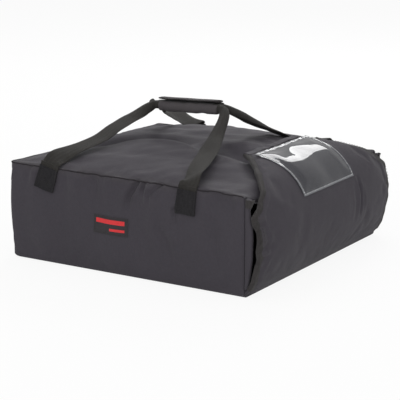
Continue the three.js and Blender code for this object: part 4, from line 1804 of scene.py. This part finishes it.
def hermite_line(points: Sequence[Sequence[float]], count: int) -> Points:
    """A smooth line through points, at even steps.

    Args:
        points: The points it goes through.
        count: How many places to give back.

    Returns:
        The places, from the first point to the last.
    """
    knots = np.array(points, float)
    ends = np.vstack([2 * knots[0] - knots[1], knots, 2 * knots[-1] - knots[-2]])
    out = []
    for k in range(1, len(ends) - 2):
        p0, p1, p2, p3 = ends[k - 1 : k + 3]
        pairs = ((p0, p1), (p1, p2), (p2, p3))
        d0, d1, d2 = (max(float(np.linalg.norm(b - a)) ** 0.5, 1e-4) for a, b in pairs)
        t1 = ((p1 - p0) / d0 - (p2 - p0) / (d0 + d1) + (p2 - p1) / d1) * d1
        t2 = ((p2 - p1) / d1 - (p3 - p1) / (d1 + d2) + (p3 - p2) / d2) * d1
        t = np.linspace(0, 1, 200, endpoint=k == len(ends) - 3)[:, None]
        out.append(p1 + t1 * t + (-3 * p1 + 3 * p2 - 2 * t1 - t2) * t**2 + (2 * p1 - 2 * p2 + t1 + t2) * t**3)
    line = np.concatenate(out)
    reached = np.r_[0, np.cumsum(np.linalg.norm(np.diff(line, axis=0), axis=1))]
    even = np.linspace(0, reached[-1], count)
    return np.c_[tuple(np.interp(even, reached, line[:, a]) for a in range(3))]


@dataclass(frozen=True)
class Leg:
    """One leg of a loop: its route from seam to grip, and how it turns and curls."""

    route: tuple[tuple[float, float, float], ...]
    turn: float
    curl_from: float
    lean: float
    flat_by: float = 0.3

    def sewn_ways(self) -> tuple[Points, Points]:
        """Directions up along the sewn end and across it."""
        sine, cosine = math.sin(math.radians(self.lean)), math.cos(math.radians(self.lean))
        return np.array([0, -sine, cosine]), np.array([0, cosine, sine])


NEAR_FRONT = Leg(
    (
        (-0.2134, -0.115, 0.154), (-0.2024, -0.1155, 0.164), (-0.062, -0.0703, 0.1955),
        (-0.0074, -0.0528, 0.2258), (-0.0054, -0.0337, 0.2279),
    ),
    0.88, 0.36, 3.0,
)
NEAR_BACK = Leg(
    (
        (-0.2134, 0.1315, 0.1576), (-0.2024, 0.1293, 0.1653), (-0.1205, 0.1078, 0.184),
        (-0.0074, 0.0782, 0.2216), (-0.0054, 0.0602, 0.2235),
    ),
    0.62, 0.66, 16.0,
)
FAR_FRONT = Leg(
    (
        (0.2134, -0.115, 0.147), (0.2090, -0.1151, 0.1488), (0.185, -0.108, 0.1515),
        (0.150, -0.097, 0.1582), (0.0854, -0.0775, 0.1850), (0.0074, -0.0518, 0.2248),
        (0.0054, -0.0337, 0.2279),
    ),
    0.97, 0.42, 3.0, 0.06,
)
FAR_BACK = Leg(
    (
        (0.2134, 0.1315, 0.1506), (0.2024, 0.1313, 0.1575), (0.1244, 0.1175, 0.1745),
        (0.0074, 0.0780, 0.2207), (0.0054, 0.0602, 0.2235),
    ),
    0.0, 0.88, 16.0,
)


@dataclass
class Loops:
    """Two webbing loops with their sewn tails and patches."""

    shell: bpy.types.Object
    width: float = 0.032
    thick: float = 0.0020
    section_points: int = 13
    selvedge: float = 0.6
    wear_and_border_highlight: float = 0.15
    tail: float = 0.041
    patch_height: float = 0.036
    patch_thick: float = 0.0016
    stations: int = 64
    grip_up: tuple[float, float, float] = (0.0, 0.0471, 0.9989)
    grip_share: tuple[float, float] = (0.84, 0.94)
    sway: float = 0.0008
    box_inset: float = 0.003
    under_tail: float = 0.0003
    over_seam: float = 0.0015

    def leg(self, leg: Leg, side: int) -> tuple[Points, Points, Points, Points]:
        """Stations of a leg from the seam to the grip.

        Returns:
            Centres, directions across, directions off the face, and how much each curls.
        """
        line = hermite_line(leg.route, self.stations)
        share = np.linspace(0, 1, self.stations)
        way = np.gradient(line, axis=0)
        way[0] = leg.sewn_ways()[0]
        way /= np.linalg.norm(way, axis=1)[:, None]
        at_grip = smoothstep(share, *self.grip_share)
        turned = np.maximum(smoothstep(share, 0, leg.flat_by) * leg.turn, at_grip)[:, None]
        face = np.array([side, 0, 0]) * (1 - turned) + np.array(self.grip_up) * turned
        across = np.cross(way, face)
        across /= np.linalg.norm(across, axis=1)[:, None]
        face = np.cross(across, way)
        curl = smoothstep(share, leg.curl_from, 0.95) * 2.25 + 0.06 * np.sin(share * math.pi)
        sway = ripple(np.c_[share, share * 0.2], 0.22, 61 + side) * self.sway
        line = line + face * (sway * np.sin(share * math.pi))[:, None]
        return line, across, face, curl

    def section(self, curl: float, half_thick: float) -> Points:
        """The webbing's own section, flat or rolled up like a gutter."""
        a = np.linspace(-0.5, 0.5, self.section_points) * self.width
        bend = 2 * max(curl, 1e-3) / self.width
        u, v = np.sin(bend * a) / bend, -(1 - np.cos(bend * a)) / bend
        nu, nv = np.sin(bend * a), np.cos(bend * a)
        edge = np.ones(self.section_points)
        edge[0] = edge[-1] = self.selvedge
        top = np.c_[u + nu * half_thick * edge, v + nv * half_thick * edge]
        low = np.c_[u - nu * half_thick * edge, v - nv * half_thick * edge][::-1]
        rise = (1 - math.cos(curl)) / bend * 0.5
        return np.concatenate([top, low]) + (0, rise)

    def strap(self, name: str, side: int, front: Leg, back: Leg, body_nodes: Sequence[str]) -> None:
        """Makes one loop from its front seam through the grip to its back seam."""
        up, down = self.leg(front, side), self.leg(back, side)
        line, across, face, curl = (np.concatenate([a, b[::-1]]) for a, b in zip(up, down))
        across[self.stations :] *= -1
        rings = []
        for centre, wide, off, bend in zip(line, across, face, curl):
            section = self.section(float(bend), self.thick / 2)
            rings.append(centre + section[:, :1] * wide + section[:, 1:] * off)
        obj = loft(name, np.array(rings))
        subdivide(obj)
        set_wear_and_border_highlight(obj, np.full(len(obj.data.vertices), self.wear_and_border_highlight))
        show(obj, Finish.WEBBING, None, body_nodes, 70)
        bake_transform(obj)

    def flat_patch(
        self,
        name: str,
        side: int,
        leg: Leg,
        low: float,
        high: float,
        half: float,
        clear: float,
        thick: float,
    ) -> bpy.types.Object:
        """A flat piece of webbing laid on the side, below a leg.

        Args:
            name: Name of the piece.
            side: -1 for the near side, 1 for the far one.
            leg: The leg it belongs to.
            low: Lower end, below the seam.
            high: Upper end, below the seam.
            half: Half its width.
            clear: How far it stands off the cloth.
            thick: Its thickness.

        Returns:
            The piece.
        """
        foot = np.array(leg.route[0])
        way, wide = leg.sewn_ways()
        out = np.array([side, 0, 0])

        def place(u: Points, v: Points) -> Points:
            """Lays the piece on the cloth of the side."""
            fray = 1 + 0.006 * np.sin(v * 40)
            down = (low + (high - low) * v)[:, None]
            flat = foot + wide * ((2 * u - 1) * half * fray)[:, None] - way * down
            seam = BagShell().edge_height(side * BagShell.half_width)
            probe = flat.copy()
            probe[:, 2] = np.minimum(probe[:, 2], seam - 0.004)
            laid = lay(probe, self.tree, out, clear, 0.02)
            return np.c_[laid[:, 0], flat[:, 1], flat[:, 2]]

        obj = grid(name, 14, 18, place)
        stretch_map(obj, 2 * half, abs(high - low))
        face_sideways(obj, side)
        thicken(obj, thick, 1.0)
        modify(obj, "BEVEL", width=thick * 0.3, segments=2, limit_method="ANGLE")
        return obj

    def sewn_box(self, name: str, patch: bpy.types.Object, side: int, leg: Leg) -> None:
        """Sews a box with a cross through a patch."""
        tree = tree_of(patch)
        foot = np.array(leg.route[0])
        way, wide = leg.sewn_ways()
        half, low = self.width / 2 - self.box_inset, self.tail - self.box_inset
        top = self.tail - self.patch_height + self.box_inset
        box = ((-1, top), (1, top), (1, low), (-1, low), (-1, top))
        corners = [foot + wide * a * half - way * b for a, b in box]
        rows = []
        for run in (corners, corners[0:3:2], corners[1:4:2]):
            line = along_line(run)
            outward = np.tile(np.array([side, 0.0, 0.0]), (len(line), 1))
            rows.append((lay(line, tree, outward, 0.0, 0.02), outward))
        sewn = STRAP_THREAD.row(name, rows)
        show(sewn, Finish.THREAD, "bag")

    def build(self) -> None:
        """Makes both loops, their tails and their patches."""
        self.tree = tree_of(self.shell)
        pairs = (("near", -1, NEAR_FRONT, NEAR_BACK), ("far", 1, FAR_FRONT, FAR_BACK))
        for word, side, front, back in pairs:
            self.strap(f"{word}_loop", side, front, back, [f"{word}_strap"])
            for end, leg in (("front", front), ("back", back)):
                tail = self.flat_patch(
                    f"{word}_{end}_loop_end", side, leg, self.tail, -self.over_seam,
                    self.width / 2, self.under_tail, self.thick,
                )
                show(tail, Finish.WEBBING, "bag", [f"{word}_{end}_tail"])
                patch = self.flat_patch(
                    f"{word}_{end}_sewn_patch", side, leg, self.tail, self.tail - self.patch_height,
                    self.width / 2 + 0.0006, self.under_tail + self.thick, self.patch_thick,
                )
                show(patch, Finish.PATCH, "bag", [f"{word}_{end}_patch"])
                self.sewn_box(f"{word}_{end}_stitches", patch, side, leg)


@dataclass
class Grip:
    """The wrapped grip: a padded channel round both loops and the lip that closes it."""

    centre: tuple[float, float, float] = (0.0, 0.0113, 0.2261)
    axis: tuple[float, float, float] = (0.0, 0.99889, -0.04711)
    up: tuple[float, float, float] = (0.0, 0.04711, 0.99889)
    half_length: float = 0.0550
    half_width: float = 0.014
    low: float = -0.0092
    high: float = 0.0062
    wall: float = 0.0030
    lip_half_length: float = 0.0525
    lip_thick: float = 0.0026
    lip_lift: float = 0.0036
    lip_rings: int = 56

    def at(self, x: Points, along: Points, up: Points) -> Points:
        """Points from the grip's own axes."""
        centre, axis, rise = (np.array(v) for v in (self.centre, self.axis, self.up))
        across = np.stack([x, np.zeros_like(x), np.zeros_like(x)], -1)
        return centre + across + along[..., None] * axis + up[..., None] * rise

    def channel(self) -> None:
        """Makes the channel, soft and a little swollen."""
        w, low, high, t = self.half_width, self.low, self.high, self.wall
        outer = [(-w * 0.80, high + 0.0006), (-w * 0.96, high - 0.0012), (-w * 1.08, high - 0.005)]
        outer += [(-w * 1.10, low + 0.006), (-w * 1.02, low + 0.002)]
        outer += [(-w * 0.75, low - 0.0008), (-w * 0.3, low - 0.0008)]
        section = outer + [(-x, z) for x, z in reversed(outer)]
        inner = [(w - t, high), (w - t, low + t + 0.002), (w - t - 0.002, low + t), (0, low + t)]
        section = np.array(section + inner + [(-x, z) for x, z in reversed(inner[:3])])
        s = np.linspace(-1, 1, 60)
        along = s * self.half_length
        end = 1 - np.abs(s) ** 14 * 0.10
        swell = 1 + 0.03 * np.cos(s * 2.6) + 0.012 * ripple(np.c_[s, s * 0.2], 0.35, 71)
        x = section[:, 0] * (end * swell)[:, None]
        z = section[:, 1] * end[:, None] + 0.0004 * ripple(np.c_[s, s], 0.5, 72)[:, None]
        obj = loft("grip_cover", self.at(x, np.broadcast_to(along[:, None], x.shape), z))
        subdivide(obj)
        points = places(obj)
        points += normals(obj) * (ripple(points, 0.022, 73) * 0.0004)[:, None]
        put(obj, points)
        set_wear_and_border_highlight(obj, 0.2 + 0.2 * ripple(points, 0.02, 74))
        # The channel's lighter colour is a painted highlight.
        show(obj, Finish.WRAP, "grip", ["grip_wrap"])

    def lip(self) -> None:
        """Makes the lip, which stands a little off the channel at its free edge."""
        w = self.half_width
        far, near = w, -w - 0.0016
        base = self.high + 0.0004

        def section(lift: float) -> list[tuple[float, float]]:
            """The lip's section with its free edge lifted."""
            t = self.lip_thick
            return [
                (far, base), (0.002, base), (near + 0.001, base + lift), (near - 0.0002, base + lift + t / 2),
                (near + 0.001, base + lift + t), (0.002, base + t + 0.0006 + lift * 0.6),
                (far - 0.001, base + t), (far + 0.0003, base + t / 2),
            ]

        s = np.linspace(-1, 1, self.lip_rings)
        lift = self.lip_lift + 0.0008 * np.abs(s) ** 3 + 0.0003 * np.sin(s * 7)
        rings = np.array([section(float(v)) for v in lift])
        along = s * self.lip_half_length
        rings[..., 0] -= 0.0010 * (s**4)[:, None]
        along = np.broadcast_to(along[:, None], rings.shape[:2])
        obj = loft("grip_cover_lip", self.at(rings[..., 0], along, rings[..., 1]))
        subdivide(obj)
        points = places(obj)
        set_wear_and_border_highlight(obj, 0.35 + 0.25 * ripple(points, 0.02, 75))
        show(obj, Finish.TRIM, None, ["grip_lip"])
        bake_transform(obj)

    def build(self) -> None:
        """Makes the grip and its stitches."""
        self.channel()
        self.lip()
        s = np.linspace(-self.lip_half_length + 0.004, self.lip_half_length - 0.004, 60)
        line = self.at(np.full_like(s, -self.half_width + 0.0030), s, np.full_like(s, self.high + 0.0042))
        out = np.tile(np.array(self.up), (len(s), 1))
        sewn = GRIP_THREAD.row("grip_stitches", [(line, out)])
        show(sewn, Finish.THREAD, "grip_lip_body")


@dataclass
class SmallTrim:
    """Side label, hook strips and loop strip."""

    shell: bpy.types.Object
    label_y: tuple[float, float] = (-0.011, 0.051)
    label_z: tuple[float, float] = (0.0635, 0.0915)
    bars: tuple[tuple[float, float, float, float], ...] = (
        (0.08, 0.92, 0.60, 0.84),
        (0.50, 0.92, 0.22, 0.36),
    )
    label_clear: float = 0.0002
    label_thick: float = 0.0007
    bar_clear: float = 0.00092
    bar_thick: float = 0.00025
    stitch_clear: float = 0.0009

    def label(self) -> None:
        """Makes the woven label with plain bars."""
        tree = tree_of(self.shell)
        out = np.array([-1.0, 0.0, 0.0])
        (y0, y1), (z0, z1) = self.label_y, self.label_z

        def laid(u: Points, v: Points, clear: float) -> Points:
            """Lays the label on the side."""
            flat = np.c_[np.full_like(u, -0.213), y1 + (y0 - y1) * u, z0 + (z1 - z0) * v]
            return lay(flat, tree, out, clear, 0.02)

        obj = grid("woven_side_label", 40, 20, lambda u, v: laid(u, v, self.label_clear))
        stretch_map(obj, y1 - y0, z1 - z0)
        face_sideways(obj, -1)
        thicken(obj, self.label_thick, 1.0)
        show(obj, Finish.LABEL, "bag", ["side_label"])
        for k, (u0, u1, v0, v1) in enumerate(self.bars):
            bar = grid(
                f"label_bar_{k + 1}", 30, 4,
                lambda u, v: laid(u0 + (u1 - u0) * u, v0 + (v1 - v0) * v, self.bar_clear),
            )
            stretch_map(bar, (u1 - u0) * (y1 - y0), (v1 - v0) * (z1 - z0))
            face_sideways(bar, -1)
            thicken(bar, self.bar_thick, 1.0)
            show(bar, Finish.LABEL_BAR, "bag")
        corners = [(0.04, 0.08), (0.96, 0.08), (0.96, 0.92), (0.04, 0.92), (0.04, 0.08)]
        line = along_line([np.array(c) * (y1 - y0, z1 - z0) for c in corners], 0.002) / (y1 - y0, z1 - z0)
        points = laid(line[:, 0], line[:, 1], self.stitch_clear)
        outwards = np.tile(out, (len(points), 1))
        sewn = LABEL_THREAD.row("label_stitches", [(points, outwards)])
        show(sewn, Finish.THREAD, "bag")

    def strips(self, nodes: dict[str, bpy.types.Object]) -> None:
        """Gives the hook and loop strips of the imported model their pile."""
        for name in ("flap_hook_strip", "top_loop_strip", "grip_hook_strip"):
            mesh = nodes[name].data
            mesh.materials.clear()
            mesh.materials.append(Finish.HOOK.material())


def main() -> None:
    """Loads the frame and builds every piece, logging the face count of each."""
    logging.basicConfig(level=logging.INFO, format="%(relativeCreated)7d ms  %(message)s")
    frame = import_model()
    Studio().build()
    shell = BagShell().build()
    flap = Flap()
    skin = flap.build()
    TipTrim(flap, skin).build()
    bpy.data.objects.remove(skin)
    MouthTrim().build()
    Loops(shell).build()
    Grip().build()
    trim = SmallTrim(shell)
    trim.label()
    trim.strips(frame["nodes"])


if __name__ == "__main__":
    main()
